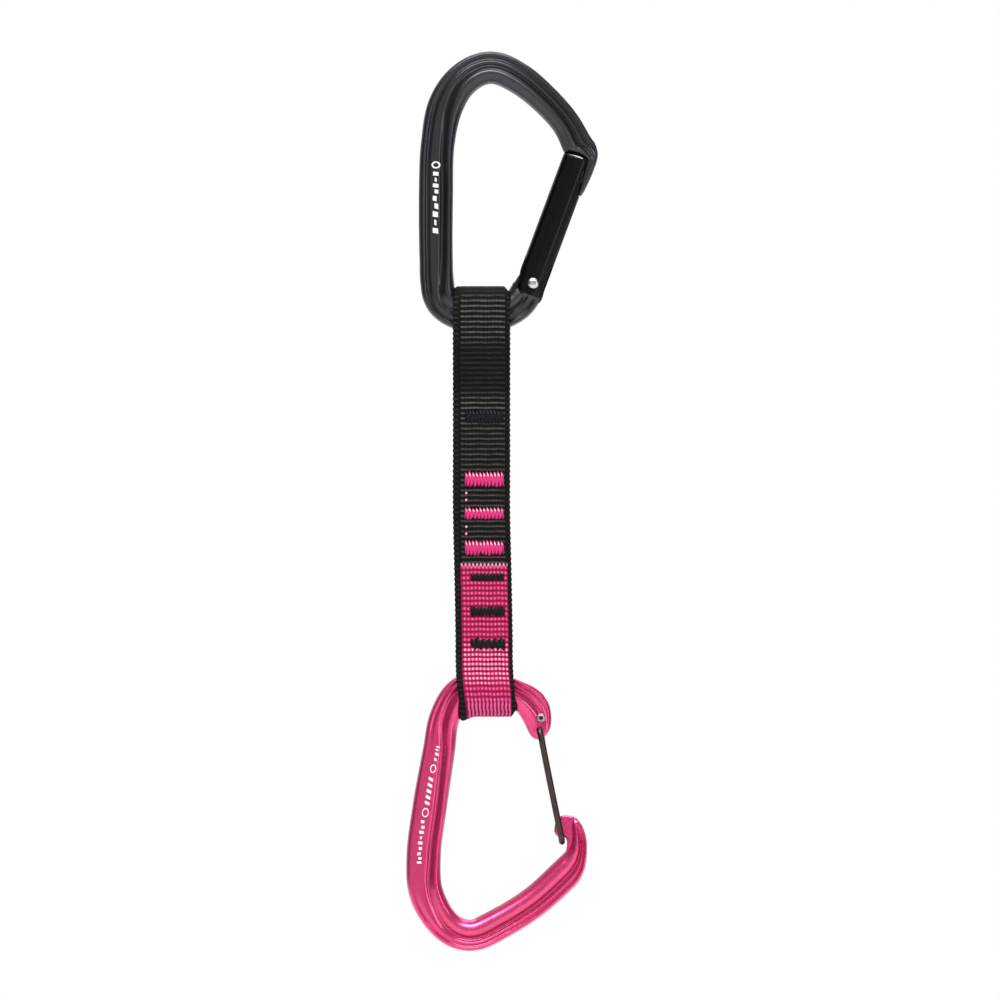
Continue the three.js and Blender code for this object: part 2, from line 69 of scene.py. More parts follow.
def addCamera():
    data = bpy.data.cameras.new("camera")
    data.lens = view["lens"]
    data.sensor_width = view["sensor"]
    camera = bpy.data.objects.new("camera", data)
    scene.collection.objects.link(camera)
    distance = view["frameWidth"] * view["lens"] / view["sensor"]
    x, z = view["centre"]
    camera.location = (x * metres, -distance * metres, z * metres)
    camera.rotation_euler = (math.radians(90), 0, 0)
    scene.camera = camera


addCamera()


class Wire:
    # a shader socket that Python's own operators work on

    def __init__(self, tree, socket):
        self.tree = tree
        self.socket = socket

    def math(self, kind, *others):
        return self.tree.node("Math", {"operation": kind}, dict(enumerate((self,) + others)))[0]

    def __add__(self, other): return self.math("ADD", other)
    def __sub__(self, other): return self.math("SUBTRACT", other)
    def __mul__(self, other): return self.math("MULTIPLY", other)
    def __truediv__(self, other): return self.math("DIVIDE", other)
    def __neg__(self): return self * -1
    def __rsub__(self, other): return (self * -1) + other
    __radd__ = __add__
    __rmul__ = __mul__

    def abs(self): return self.math("ABSOLUTE")
    def fract(self): return self.math("FRACT")

    def ramp(self, low, high, start=0.0, end=1.0):
        # eases from start to end while the value goes from low to high
        values = {"Value": self, "From Min": low, "From Max": high, "To Min": start, "To Max": end}
        return self.tree.node("MapRange", {"interpolation_type": "SMOOTHSTEP"}, values)[0]

    def within(self, a, b, c, d):
        # 0 to 1 between a and b, back to 0 between c and d
        return self.ramp(a, b) * (1 - self.ramp(c, d))


class Tree:
    # the nodes of one material or world

    def __init__(self, owner):
        self.nodes = owner.node_tree.nodes
        self.links = owner.node_tree.links

    def node(self, kind, settings=None, sockets=None):
        new = self.nodes.new("ShaderNode" + kind)
        for key, value in (settings or {}).items():
            setattr(new, key, value)
        for key, value in (sockets or {}).items():
            if isinstance(value, Wire):
                self.links.new(value.socket, new.inputs[key])
            else:
                new.inputs[key].default_value = value
        return [Wire(self, out) for out in new.outputs]

    def noise(self, at, scale, detail=2.0, roughness=0.5):
        values = {"Vector": at, "Scale": scale, "Detail": detail, "Roughness": roughness}
        return self.node("TexNoise", None, values)[0]

    def stretch(self, at, x, y, z):
        return self.node("Mapping", None, {"Vector": at, "Scale": (x, y, z)})[0]

    def attribute(self, name):
        return self.node("Attribute", {"attribute_name": name})[2]

    def split(self, vector):
        return self.node("SeparateXYZ", None, {"Vector": vector})

    def blend(self, amount, first, second):
        # inputs 6 and 7 are the two colours, output 2 the colour between them
        return self.node("Mix", {"data_type": "RGBA"}, {0: amount, 6: first, 7: second})[2]

    def layers(self, base, *coats):
        # each coat is (how much, colour) over what is below it
        for amount, code in coats:
            base = self.blend(amount, base, colour(code))
        return base

    def bump(self, height, strength, distance):
        return self.node("Bump", None, {"Strength": strength, "Distance": distance, "Height": height})[0]

    def surface(self, settings):
        shader = self.node("BsdfPrincipled", None, settings)[0]
        self.node("OutputMaterial", None, {"Surface": shader})


def colour(code, gain=1.0):
    # "d8316f" as screen values, turned to the linear ones that shaders take
    parts = [int(code[k:k + 2], 16) / 255 for k in (0, 2, 4)]
    linear = [p / 12.92 if p <= 0.04045 else ((p + 0.055) / 1.055) ** 2.4 for p in parts]
    return (*[gain * p for p in linear], 1.0)


def newMaterial(name):
    # an empty material, its nodes and its Object coordinates
    material = bpy.data.materials.new(name)
    material.use_nodes = True
    material.node_tree.nodes.clear()
    tree = Tree(material)
    return material, tree, tree.node("TexCoord")[3]


def anodised(name, base, worn, roughness, metallic=0.9, coat=0.25, deep=0.6, sheen=0.2):
    # dyed oxide over blasted aluminium: cloudy dye, fine grain, paler where "wear" is high
    # and a painted shade that darkens the grooves, as strongly as deep says
    material, tree, at = newMaterial(name)
    cloud = tree.noise(at, 60.0, 3.0)
    grain = tree.noise(at, 5200.0, 2.0)
    wear = tree.attribute("wear")
    wearAndSheen = (wear * (tree.noise(at, 900.0, 4.0, 0.65) + 0.1)).ramp(0.35, 1.2)
    dyeAndShade = tree.blend(cloud.ramp(0.3, 0.7, 0.0, 0.3), colour(base), colour(base, 0.75))
    dyeAndShade = tree.layers(dyeAndShade, (wearAndSheen * 0.3, worn))
    # painted shade: the grooves' value darkens the dye towards a near-black of the same hue
    dyeAndShade = tree.blend(tree.attribute("grooveShade") * deep, dyeAndShade, colour(base, 0.22))
    tree.surface({
        "Base Color": dyeAndShade,
        "Metallic": metallic,
        "Roughness": cloud * 0.08 + grain * 0.06 + wearAndSheen * 0.1 + (roughness - 0.08),
        "Coat Weight": coat,
        "Coat Roughness": sheen,
        "Normal": tree.bump(grain, 0.06, 0.00004),
    })
    return material


def bareSteel(name, base, roughness):
    material, tree, at = newMaterial(name)
    lines = tree.noise(tree.stretch(at, 1.0, 1.0, 0.12), 2400.0, 3.0)
    stain = tree.noise(at, 180.0, 3.0)
    tree.surface({
        "Base Color": tree.blend(stain.ramp(0.35, 0.75, 0.0, 0.4), colour(base), colour(base, 0.55)),
        "Metallic": 1.0,
        "Roughness": lines * 0.14 + (roughness - 0.05),
        "Normal": tree.bump(lines, 0.1, 0.00005),
    })
    return material


def softRubber(name):
    material, tree, at = newMaterial(name)
    tree.surface({
        "Base Color": tree.blend(tree.noise(at, 900.0, 3.0), colour("161618"), colour("262628")),
        "Roughness": tree.noise(at, 2600.0) * 0.2 + 0.55,
        "Normal": tree.bump(tree.noise(at, 3000.0, 3.0), 0.25, 0.0001),
    })
    return material


def markPaint(name, worn, fresh):
    material, tree, at = newMaterial(name)
    cover = tree.noise(at, 1500.0, 3.0).ramp(0.35, 0.6)
    tree.surface({
        "Base Color": tree.blend(cover, colour(worn), colour(fresh)),
        "Roughness": tree.noise(at, 2500.0) * 0.2 + 0.4,
        "Normal": tree.bump(tree.noise(at, 4000.0), 0.1, 0.00003),
    })
    return material


weave = {
    "ribPitch": 1.8,
    "columnPitch": 1.33,
    "changeAt": -167.5,     # where the black weave gives way to pink
    "toothHeight": 0.9,
    "blackEdges": (-7.8, 8.6),  # the pink lies between these, across the tape
}


def tapeMaterial():
    # UV holds millimetres across and along the tape, "lift" the height of the weave there
    material, tree, at = newMaterial("tape_weave")
    across, along, _ = tree.split(tree.node("UVMap", {"uv_map": "tape"})[0])
    lift = tree.attribute("lift")
    fuzz = tree.noise(at, 5200.0, 3.0)
    cloud = tree.noise(at, 150.0, 3.0)

    tooth = (across / weave["columnPitch"]).fract() - 0.5
    edge = along + tooth.abs() * 2 * weave["toothHeight"]
    low, high = weave["blackEdges"]
    pink = (1 - edge.ramp(weave["changeAt"] - 0.1, weave["changeAt"] + 0.15)) * across.within(
        low - 0.12, low + 0.12, high - 0.12, high + 0.12)

    # painted sheen: the rib crests are paler, dimmed by painted shade over the turn, in one band below it and
    # further down
    turnOver = 1 - along.ramp(-75.0, -73.0, 0.0, 0.85)
    band = along.within(-112.0, -106.0, -93.0, -86.0)
    below = 1 - along.ramp(-124.0, -113.0)
    streak = tree.noise(tree.stretch(at, 0.35, 1.0, 1.0), 1100.0, 2.0).ramp(0.3, 0.6, 0.5, 1.0)
    wearAndSheen = lift.ramp(0.5, 1.0) * turnOver * (1 - band * 0.8) * (1 - below * 0.4) * streak
    blackYarnAndSheen = tree.layers(colour("060505"), (wearAndSheen, "57504f"), (fuzz.ramp(0.45, 0.8, 0.0, 0.35), "110e10"))

    # painted light on the pink weave: shade in the gaps between the bumps, pale highlights on the bump tips,
    # strongest in a lit band near the top of the lower eye
    tips = lift.ramp(0.55, 0.97) * tree.noise(at, 800.0, 2.0).ramp(0.35, 0.6, 0.55, 1.0)
    bright = along.within(-212.5, -208.5, -198.5, -194.5)
    pinkYarnAndLight = tree.layers(
        colour("55072a"), (lift.ramp(0.05, 0.45), "ab1750"), (tips * (bright * 0.55 + 0.36), "fbb8d2"),
        (lift.ramp(0.3, 0.8) * bright * 0.4, "f39abd"), (cloud.ramp(0.3, 0.7, 0.0, 0.2), "a81a50"))
    # painted shade darkens the foot of the lower eye, and its column crests get a paler painted highlight
    footYarnAndLight = tree.blend(lift.ramp(0.35, 0.85), colour("6b1038"), colour("d9558a"))
    pinkYarnAndLight = tree.blend(1 - along.ramp(-218.5, -214.5), pinkYarnAndLight, footYarnAndLight)
    lip = edge.ramp(weave["changeAt"] - 1.3, weave["changeAt"] - 0.8)
    lip = lip * (1 - (tooth.abs() * 2).ramp(0.3, 0.65))
    pinkYarnAndLight = tree.layers(pinkYarnAndLight, (lip * 0.55, "f6bcd2"))
    tree.surface({
        "Base Color": tree.blend(pink, blackYarnAndSheen, pinkYarnAndLight),
        "Roughness": 0.62 + fuzz * 0.25,
        "Specular IOR Level": 0.12,
        "Normal": tree.bump(fuzz, 0.35, 0.00012),
    })
    return material


def threadMaterial(name, deep, body, tip):
    # "strand" is the height of the sewing strand, 0 in the gaps and 1 on its crest; the colour is painted
    # shade in the gaps and a painted highlight on the crest
    material, tree, at = newMaterial(name)
    strand = tree.attribute("strand")
    fibres = tree.noise(tree.stretch(at, 3.0, 3.0, 1.0), 3000.0, 3.0)
    shine = strand.ramp(0.7, 1.0) * (fibres * 0.6 + 0.5)
    yarn = tree.layers(colour(deep), (strand.ramp(0.1, 0.6), body), (shine, tip))
    tree.surface({
        "Base Color": yarn,
        "Roughness": 0.38 + fibres * 0.25,
        "Specular IOR Level": 0.16,
        "Normal": tree.bump(fibres, 0.3, 0.00008),
    })
    return material


finishes = {
    "black": anodised("black_anodised", "36353b", "77767e", 0.32, 0.8, 0.3, 0.8),
    "gate": anodised("black_gate", "16151a", "4a4a50", 0.28, 0.9, 0.12),
    "magenta": anodised("magenta_anodised", "d6306e", "f090b8", 0.25, 0.72, 0.8, 0.45, 0.2),
    "polished": bareSteel("polished_steel", "c9c8c9", 0.26),
    "peened": bareSteel("peened_steel", "a69da2", 0.52),
    "spring": bareSteel("spring_steel", "4e4442", 0.3),
    "tape": tapeMaterial(),
    "blackThread": threadMaterial("black_thread", "050406", "0e0b11", "37313a"),
    "pinkThread": threadMaterial("pink_thread", "5e0a30", "c52f6c", "fbcfe0"),
    "rubber": softRubber("rubber"),
    "mark": markPaint("mark_paint", "cfcdd0", "f4f3f5"),
    "pinkMark": markPaint("pale_mark_paint", "eebfd0", "fae6ee"),
}
print("quickdraw: materials made")


def spline(points, at):
    # Catmull-Rom through the points, each span timed by the square root of its chord;
    # at counts points, so 0 is the first and 2.5 halfway from the third to the fourth
    p = np.asarray(points, float)
    p = np.vstack([2 * p[0] - p[1], p, 2 * p[-1] - p[-2]])
    at = np.asarray(at, float)
    k = np.clip(at.astype(int), 0, len(p) - 4)
    u = (at - k)[:, None]
    a, b, c, d = p[k], p[k + 1], p[k + 2], p[k + 3]
    chord = [np.sqrt(np.linalg.norm(q - r, axis=1))[:, None] for q, r in ((b, a), (c, b), (d, c))]
    middle = np.where(chord[1] < 1e-4, 1.0, chord[1])
    before = np.where(chord[0] < 1e-4, middle, chord[0])
    after = np.where(chord[2] < 1e-4, middle, chord[2])
    start = ((b - a) / before - (c - a) / (before + middle) + (c - b) / middle) * middle
    end = ((c - b) / middle - (d - b) / (middle + after) + (d - c) / after) * middle
    return b + start * u + (3 * (c - b) - 2 * start - end) * u**2 + (2 * (b - c) + start + end) * u**3


def evenly(points, count):
    # the same polyline with its points spaced evenly
    steps = np.r_[0, np.cumsum(np.linalg.norm(np.diff(points, axis=0), axis=1))]
    want = np.linspace(0, steps[-1], count)
    return np.stack([np.interp(want, steps, column) for column in points.T], axis=1)


def unit(vectors):
    return vectors / np.maximum(np.linalg.norm(vectors, axis=-1, keepdims=True), 1e-9)


def ease(value, low, high):
    t = np.clip((value - low) / (high - low), 0, 1)
    return t * t * (3 - 2 * t)


def gridFaces(rows, columns, closed, start=0):
    # quads between neighbouring rows; closed joins the last column to the first
    r = np.arange(rows - 1)[:, None]
    c = np.arange(columns if closed else columns - 1)[None, :]
    after = (c + 1) % columns
    here, above = r * columns, (r + 1) * columns
    return np.stack([here + c, here + after, above + after, above + c], -1).reshape(-1, 4) + start


def toMesh(name, surfaces, finish, values=None, uv=None):
    # surfaces is a list of (points, faces); values are per-point attributes, uv per-point pairs
    points = np.concatenate([s[0].reshape(-1, 3) for s in surfaces]) * metres
    faces, start = [], 0
    for shape, quads in surfaces:
        faces.append(quads + start)
        start += shape.reshape(-1, 3).shape[0]
    faces = np.concatenate(faces)
    mesh = bpy.data.meshes.new(name)
    mesh.vertices.add(len(points))
    mesh.vertices.foreach_set("co", points.ravel())
    mesh.loops.add(faces.size)
    mesh.loops.foreach_set("vertex_index", faces.ravel().astype(np.int32))
    mesh.polygons.add(len(faces))
    mesh.polygons.foreach_set("loop_start", np.arange(0, faces.size, 4, dtype=np.int32))
    mesh.polygons.foreach_set("loop_total", np.full(len(faces), 4, dtype=np.int32))
    mesh.polygons.foreach_set("use_smooth", np.ones(len(faces), dtype=bool))
    mesh.update(calc_edges=True)
    for key, column in (values or {}).items():
        layer = mesh.attributes.new(key, "FLOAT", "POINT")
        layer.data.foreach_set("value", np.concatenate([np.ravel(v) for v in column]).astype(np.float32))
    if uv is not None:
        layer = mesh.uv_layers.new(name="tape")
        flat = np.concatenate([v.reshape(-1, 2) for v in uv])
        layer.data.foreach_set("uv", flat[faces.ravel()].ravel().astype(np.float32))
    mesh.validate()
    mesh.materials.append(finishes[finish])
    piece = bpy.data.objects.new(name, mesh)
    scene.collection.objects.link(piece)
    return piece


def facing(shape, quads):
    # turns every face over if the volume they close comes out negative
    p = shape.reshape(-1, 3)
    a, b, c, d = (p[quads[:, k]] for k in range(4))
    volume = (np.cross(b - a, c - a) * a).sum() + (np.cross(c - a, d - a) * a).sum()
    return quads if volume > 0 else quads[:, ::-1]


def fit(piece, partOf, slotName, *replaced):
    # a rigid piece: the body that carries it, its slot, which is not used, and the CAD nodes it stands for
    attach(piece, partOf)
    if replaced:
        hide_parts(*replaced)


def closedTube(rings):
    # rings is [along, around, 3], each ring's second half the mirror of its first; the first
    # ring and the last are closed by quads between mirrored spans
    rows, columns = rings.shape[:2]
    k = np.arange(columns // 2 - 1)
    cap = np.stack([k, columns - 1 - k, columns - 2 - k, k + 1], -1)
    quads = np.concatenate([gridFaces(rows, columns, True), cap[:, ::-1], cap + (rows - 1) * columns])
    return rings, facing(rings, quads)


def lidded(rows):
    # closed rings with quads straight across the first ring and the last
    count, around = rows.shape[:2]
    quads = gridFaces(count, around, True)
    half = np.arange(around // 2 - 1)
    for first in (0, (count - 1) * around):
        lid = np.stack([half, half + 1, around - 2 - half, around - 1 - half], -1) + first
        quads = np.concatenate([quads, lid if first else lid[:, ::-1]])
    return rows, facing(rows, quads)


def slab(front, back):
    # a front sheet and a back sheet with the same grid, joined round their border
    rows, columns = front.shape[:2]
    size = rows * columns
    index = np.arange(size).reshape(rows, columns)
    border = np.concatenate([index[0, :-1], index[:-1, -1], index[-1, :0:-1], index[:0:-1, 0]])
    after = np.roll(border, -1)
    quads = np.concatenate([
        gridFaces(rows, columns, False),
        gridFaces(rows, columns, False, size)[:, ::-1],
        np.stack([after, border, border + size, after + size], -1),
    ])
    both = np.concatenate([front.reshape(-1, 3), back.reshape(-1, 3)])
    return both, facing(both, quads)


body = {
    "across": 51,           # points over each half of the section
    "rings": 480,
    "tipRows": 12,          # rings between two stops of a tip
    "softRows": 18, "softRounds": 160,
    "wearFrom": 0.46,       # sections taller than this share of the depth show rubbing
}

# Sections run from the bar's outer edge to its inner one, as shares of its width and depth:
# outer rim, groove, web or middle rib, inner groove, inner or bearing rim.
sections = {
    "blackBasket": [
        (0, .06), (.02, .2), (.045, .285), (.075, .325), (.11, .337), (.15, .325), (.185, .292), (.22, .272),
        (.255, .278), (.29, .306), (.33, .337), (.38, .335), (.42, .305), (.45, .29),
        (.48, .315), (.515, .375), (.56, .44), (.61, .485), (.67, .5), (.76, .475), (.87, .395),
        (.95, .27), (1, .08),
    ],
    "blackSpine": [
        (0, .08), (.02, .22), (.055, .335), (.09, .385), (.13, .4), (.17, .38), (.21, .335), (.25, .31),
        (.29, .322), (.325, .348), (.36, .358), (.48, .36), (.58, .357), (.62, .335), (.66, .285),
        (.71, .255), (.76, .275), (.805, .34), (.85, .395), (.9, .4), (.95, .345), (.98, .24), (1, .08),
    ],
    "pinkBasket": [
        (0, .06), (.02, .2), (.045, .29), (.07, .33), (.1, .345), (.13, .335), (.155, .305), (.18, .288),
        (.205, .298), (.235, .332), (.27, .347), (.3, .327), (.335, .292), (.37, .27),
        (.41, .275), (.45, .325), (.495, .4), (.55, .465), (.62, .5), (.73, .48), (.86, .4),
        (.95, .27), (1, .08),
    ],
    "pinkSpine": [
        (0, .08), (.02, .2), (.045, .29), (.07, .34), (.1, .36), (.13, .368), (.165, .374), (.2, .377),
        (.25, .379), (.32, .38), (.4, .38), (.49, .379), (.565, .372), (.61, .345), (.65, .295),
        (.7, .265), (.75, .285), (.795, .345), (.84, .4), (.89, .41), (.945, .35), (.98, .24), (1, .08),
    ],
}


class Bar:
    # A bar of changing section along its inner edge. Stations are (x, z, width, depth, blend),
    # the blend going from the basket's section at 0 to the spine's at 1. A tip is a row of
    # (inner x, inner z, outer x, outer z, depth) from its far end to the bar.
    def __init__(self, stations, basket, spine, tips=(None, None), fade=(1.0, 1.0)):
        self.stations = np.asarray(stations, float)
        share = np.asarray(sections[basket])[:, 0]
        plain = np.stack([share, .1 + .37 * (1 - np.abs(2 * share - 1) ** 3.4) ** .5], 1)
        place = np.linspace(0, len(share) - 1, body["across"])
        self.basket, self.spine, self.plain = (
            spline(s, place) for s in (sections[basket], sections[spine], plain))
        self.tips = tips
        self.fade = fade

    def along(self, at):
        # inner edge, outward direction, width, depth and blend at the stations' numbers
        at = np.asarray(at, float)
        near = 1e-3
        edge = spline(self.stations[:, :2], at)
        last = len(self.stations) - 1
        ahead, behind = np.minimum(at + near, last), np.maximum(at - near, 0)
        way = unit(spline(self.stations[:, :2], ahead) - spline(self.stations[:, :2], behind))
        sizes = spline(self.stations[:, 2:], at)
        return edge, np.stack([way[:, 1], -way[:, 0]], 1), sizes[:, 0], sizes[:, 1], sizes[:, 2]

    def at(self, stations, share, lift=0.0):
        # points on the front face: share of the width from the outer edge, lift proud of the face
        edge, outward, width, depth, mix = self.along(stations)
        shape = self.basket + (self.spine - self.basket) * mix[:, None, None]
        column = np.clip((shape[..., 0] < share[:, None]).sum(1), 1, body["across"] - 1)
        point = np.arange(len(column))
        (share0, high0), (share1, high1) = shape[point, column - 1].T, shape[point, column].T
        tall = high0 + (high1 - high0) * (share - share0) / (share1 - share0)
        flat = edge + outward * (width * (1 - share))[:, None]
        return np.stack([flat[:, 0], -tall * depth - lift, flat[:, 1]], 1)

    def rows(self, count):
        # columns: inner x z, outer x z, depth, blend, plainness, at even steps of the inner edge
        last = len(self.stations) - 1
        at = np.linspace(0, last, 4 * count)
        steps = np.r_[0, np.cumsum(np.linalg.norm(np.diff(self.along(at)[0], axis=0), axis=1))]
        at = np.interp(np.linspace(0, steps[-1], count), steps, at)
        edge, outward, width, depth, mix = self.along(at)
        plain = np.zeros(count) if self.tips[1] else ease(at, last - self.fade[1], last)
        rows = np.column_stack([edge, edge + outward * width[:, None], depth, mix, plain])
        if self.tips[0]:
            first = self.tipRows(self.tips[0], rows[0], self.fade[0])
            rows = self.soften(np.vstack([first, rows]), len(first))
        if self.tips[1]:
            other = self.tipRows(self.tips[1], rows[-1], self.fade[1])[::-1]
            rows = self.soften(np.vstack([rows, other]), len(rows))
        return rows

    def tipRows(self, tip, join, fade):
        # the section is plain up to stop fade[0] from the tip's far end, and the bar's from fade[1] on
        stops = np.vstack([tip, join[:5]])
        at = np.linspace(0, len(stops) - 1, body["tipRows"] * len(stops))[:-1]
        ruled = spline(stops, at)
        return np.column_stack([ruled, np.full(len(at), join[5]), 1 - ease(at, *fade)])

    def soften(self, rows, join):
        # averages each outer point with its neighbours, again and again, near the join
        near = slice(join - body["softRows"], join + body["softRows"])
        before = slice(near.start - 1, near.stop - 1)
        after = slice(near.start + 1, near.stop + 1)
        for _ in range(body["softRounds"]):
            rows[near, 2:4] = (rows[before, 2:4] + 2 * rows[near, 2:4] + rows[after, 2:4]) / 4
        return rows

    def rings(self, count):
        # inner + (outer - inner) * (1 - share) in the plane, -height * depth and its mirror across it
        rows = self.rows(count)
        inner, outer, depth, mix, plain = rows[:, :2], rows[:, 2:4], rows[:, 4], rows[:, 5], rows[:, 6]
        shape = self.basket + (self.spine - self.basket) * mix[:, None, None]
        shape = shape + (self.plain - shape) * plain[:, None, None]
        flat = inner[:, None] + (outer - inner)[:, None] * (1 - shape[..., :1])
        front = np.stack([flat[..., 0], -shape[..., 1] * depth[:, None], flat[..., 1]], -1)
        back = front[:, ::-1] * (1, -1, 1)
        share, high, carved = shape[..., 0], shape[..., 1], 1 - plain[:, None]
        rub = ease(high, body["wearFrom"] - 0.08, body["wearFrom"] + 0.04) * carved
        # painted shade: high down in the grooves between the rims, where the finish darkens the dye
        grooveShade = (1 - ease(high, 0.25, 0.36)) * ease(share, 0.06, 0.14) * ease(1 - share, 0.12, 0.2) * carved
        return np.concatenate([front, back], 1), [np.concatenate([v, v[:, ::-1]], 1) for v in (rub, grooveShade)]


def bodyValues(ofBar, surfaces):
    # the bar's own wear values and painted groove shade, and none on the plates that go with it
    plates = [np.zeros(len(shape.reshape(-1, 3))) for shape, _ in surfaces[1:]]
    return {"wear": [ofBar[0]] + plates, "grooveShade": [ofBar[1]] + plates}


def clearOf(rings, centre, radius):
    # points nearer than radius to an axis along y go straight out to it
    away = rings[..., [0, 2]] - np.asarray(centre)
    far = np.linalg.norm(away, axis=-1)
    radius = radius(np.arctan2(away[..., 1], away[..., 0]))
    moved = away * np.where(far < radius, radius / np.maximum(far, 1e-6), 1)[..., None] + centre
    return np.stack([moved[..., 0], rings[..., 1], moved[..., 1]], -1)


def cushionPlate(outline, depth, rounding, count=140, middle=None):
    # a flat piece with rounded edges: the outline moved in by r(1 - cos a) and out in y by
    # r sin a, then shrunk to the middle
    corners = np.asarray(outline, float)
    looped = np.vstack([corners[-2:], corners, corners[:3]])
    ring = spline(looped, np.linspace(2, len(corners) + 2, 12 * count))
    ring = evenly(ring, count + 1)[:-1]
    middle = ring.mean(axis=0) if middle is None else np.asarray(middle)
    away = ring - middle
    far = np.linalg.norm(away, axis=1)
    turn = np.linspace(0, np.pi / 2, 9)
    inset = np.r_[rounding * (1 - np.cos(turn)), np.full(8, rounding)]
    shrink = np.r_[np.zeros(9), np.linspace(0, 0.995, 9)[1:]]
    high = np.r_[depth / 2 - rounding + rounding * np.sin(turn), np.full(8, depth / 2)]
    size = (1 - inset[:, None] / far[None]) * (1 - shrink[:, None])
    front = middle + away[None] * size[..., None]
    front = np.stack([front[..., 0], np.broadcast_to(-high[:, None], size.shape), front[..., 1]], -1)
    return lidded(np.concatenate([front[::-1], front * (1, -1, 1)]))


def turned(profile, centre, sides=64):
    # profile (radius, y) carried round an axis along y through centre, both ends closed
    profile = np.asarray(profile, float)
    angle = np.linspace(0, 2 * np.pi, sides, endpoint=False)
    r = np.maximum(profile[:, 0], 0.004)[:, None]
    x = centre[0] + r * np.cos(angle)
    z = centre[1] + r * np.sin(angle)
    return lidded(np.stack([x, np.broadcast_to(profile[:, 1:], x.shape), z], -1))


def pipe(points, radius, sides=20):
    # a round wire: radius about the path, on axes carried along it without twisting
    way = unit(np.gradient(points, axis=0))
    side = np.zeros_like(points)
    side[0] = unit(np.cross(way[0], (0.31, 0.2, 0.93)))
    for k in range(1, len(points)):
        flat = side[k - 1] - way[k] * (side[k - 1] @ way[k])
        side[k] = flat / np.linalg.norm(flat)
    other = np.cross(way, side)
    angle = np.linspace(0, 2 * np.pi, sides, endpoint=False)
    turn = side[:, None] * np.cos(angle)[None, :, None] + other[:, None] * np.sin(angle)[None, :, None]
    return points[:, None] + turn * np.reshape(radius, (-1, 1, 1))


# the bolt end, its body, gate and rivet
upper = {
    "left": -12.9, "right": 7.1, "low": -76.8,
    "pin": (15.1, -69.8),
    "lean": 0.35622,
    "gateLength": 46.7,
    "shoulder": 4.15,
    "sweep": 5.8,
}


def gatePoint(across, along):
    # from the gate's own axes, seen from the rivet, to the closed gate's place
    c, s = math.cos(upper["lean"]), math.sin(upper["lean"])
    across, along = np.asarray(across, float), np.asarray(along, float)
    return upper["pin"][0] + across * c + along * s, upper["pin"][1] - across * s + along * c


def fromGateTop(pairs):
    return [gatePoint(p, upper["gateLength"] + a) for p, a in pairs]


left, right, low = upper["left"], upper["right"], upper["low"]
gateTop = upper["gateLength"]
noseTip = [
    # inner across and along, outer across and along from the gate's top, depth
    (3.86, -12.1, 4.9, -12.4, 4.6), (3.72, -11.2, 5.3, -11.6, 6.2), (3.27, -8, 5.75, -8.4, 7.2),
    (2.75, -4, 6.05, -4.2, 7.5), (2.36, -1, 6.1, -1, 7.6), (2.1, .2, 6, 1.2, 7.7),
    (1.2, .4, 5.6, 3.3, 7.8), (-.8, .55, 4.8, 5.1, 7.9), (-2.9, .3, 3.6, 6.7, 8),
    (-4.7, .12, 2.6, 7.6, 8.1),
]
noseTip = [
    (*gatePoint(p0, gateTop + a0), *gatePoint(p1, gateTop + a1), depth) for p0, a0, p1, a1, depth in noseTip
]
upperBar = Bar([
    (25.9, -24, 11, 8.2, 0), (22.5, -16.8, 10.3, 8.8, 0), (15.5, -9.1, 10.6, 9.4, 0),
    (7.1, -2.7, 11.3, 9.4, 0), (0, 0, 11.6, 9.4, 0), (-5.8, -3.2, 11.9, 9.4, .08),
    (-9.8, -10, 12.4, 9.2, .4), (left + .5, -21.5, 11.8, 8.7, .8), (left, low / 2, 12, 8.2, 1),
    (left - .1, low + 16, 11.7, 8.4, .9), (left + .3, low + 8, 11.8, 8.8, .6),
    (-11.5, low + 3.6, 11.7, 9.2, .2), (-2.9, low, 10.7, 9.4, 0), (5.7, low + 3.6, 11.2, 9.4, 0),
    (right + 1.2, low + 7.5, 11.2, 8.8, 0),
], "blackBasket", "blackSpine", (noseTip, None), ((4.5, 8.5), 0.8))
# the rings come with the bar's wear and the painted shade of its grooves
upperRings, upperWearAndShade = upperBar.rings(body["rings"])


def heelRoom(angle):
    # the socket about the rivet: a shoulder under the heel, deeper where the heel's corner sweeps
    turned = np.angle(np.exp(1j * (angle + upper["lean"])))
    shoulder = np.minimum(upper["shoulder"] / np.maximum(-np.sin(turned), 0.2), upper["sweep"])
    return shoulder + (upper["sweep"] - shoulder) * (1 - ease(turned, -2.15, -1.85))


upperRings = clearOf(upperRings, upper["pin"], heelRoom)
tongue = cushionPlate([
    (upper["pin"][0] + x, upper["pin"][1] + z) for x, z in
    [(3.4, -4.6), (4, -1), (3.6, 1.8), (2.2, 3.5), (0, 4), (-2.2, 3.7), (-4.3, 3.2), (-5, 2.75), (-5.9, 1.4),
     (-7.2, -.8), (-8, -2.2), (-7.5, -5), (-4, -8), (0, -8), (2.4, -6.6)]
], 4.0, 0.35)
key = cushionPlate(fromGateTop([
    (-2.6, -7.7), (0, -7.8), (4, -7.7), (4.1, -6), (4, -4.2), (0, -4.1), (-2.6, -4.2), (-2.7, -6),
]), 5.2, 0.3)
neck = cushionPlate(fromGateTop([
    (.8, -4.8), (3.6, -4.8), (3.6, 1), (1.6, 1.2),
]), 2.6, 0.2)
# a thin fin along the nose, in a slot of the gate, that closes the view between them
fin = cushionPlate(fromGateTop([
    (2.75, -12), (3.6, -12.36), (4.4, -12.36), (4.7, -11), (4.8, -8), (4.4, -4), (3.4, -3.6), (2.5, -4.4),
    (2.45, -8),
]), 1.6, 0.2)
surfaces = [closedTube(upperRings), tongue, key, neck, fin]
blackBody = toMesh("black_body", surfaces, "black", bodyValues(upperWearAndShade, surfaces))
fit(blackBody, "upper_carabiner", "black_anodised", "upper_frame")
print("quickdraw: black body")

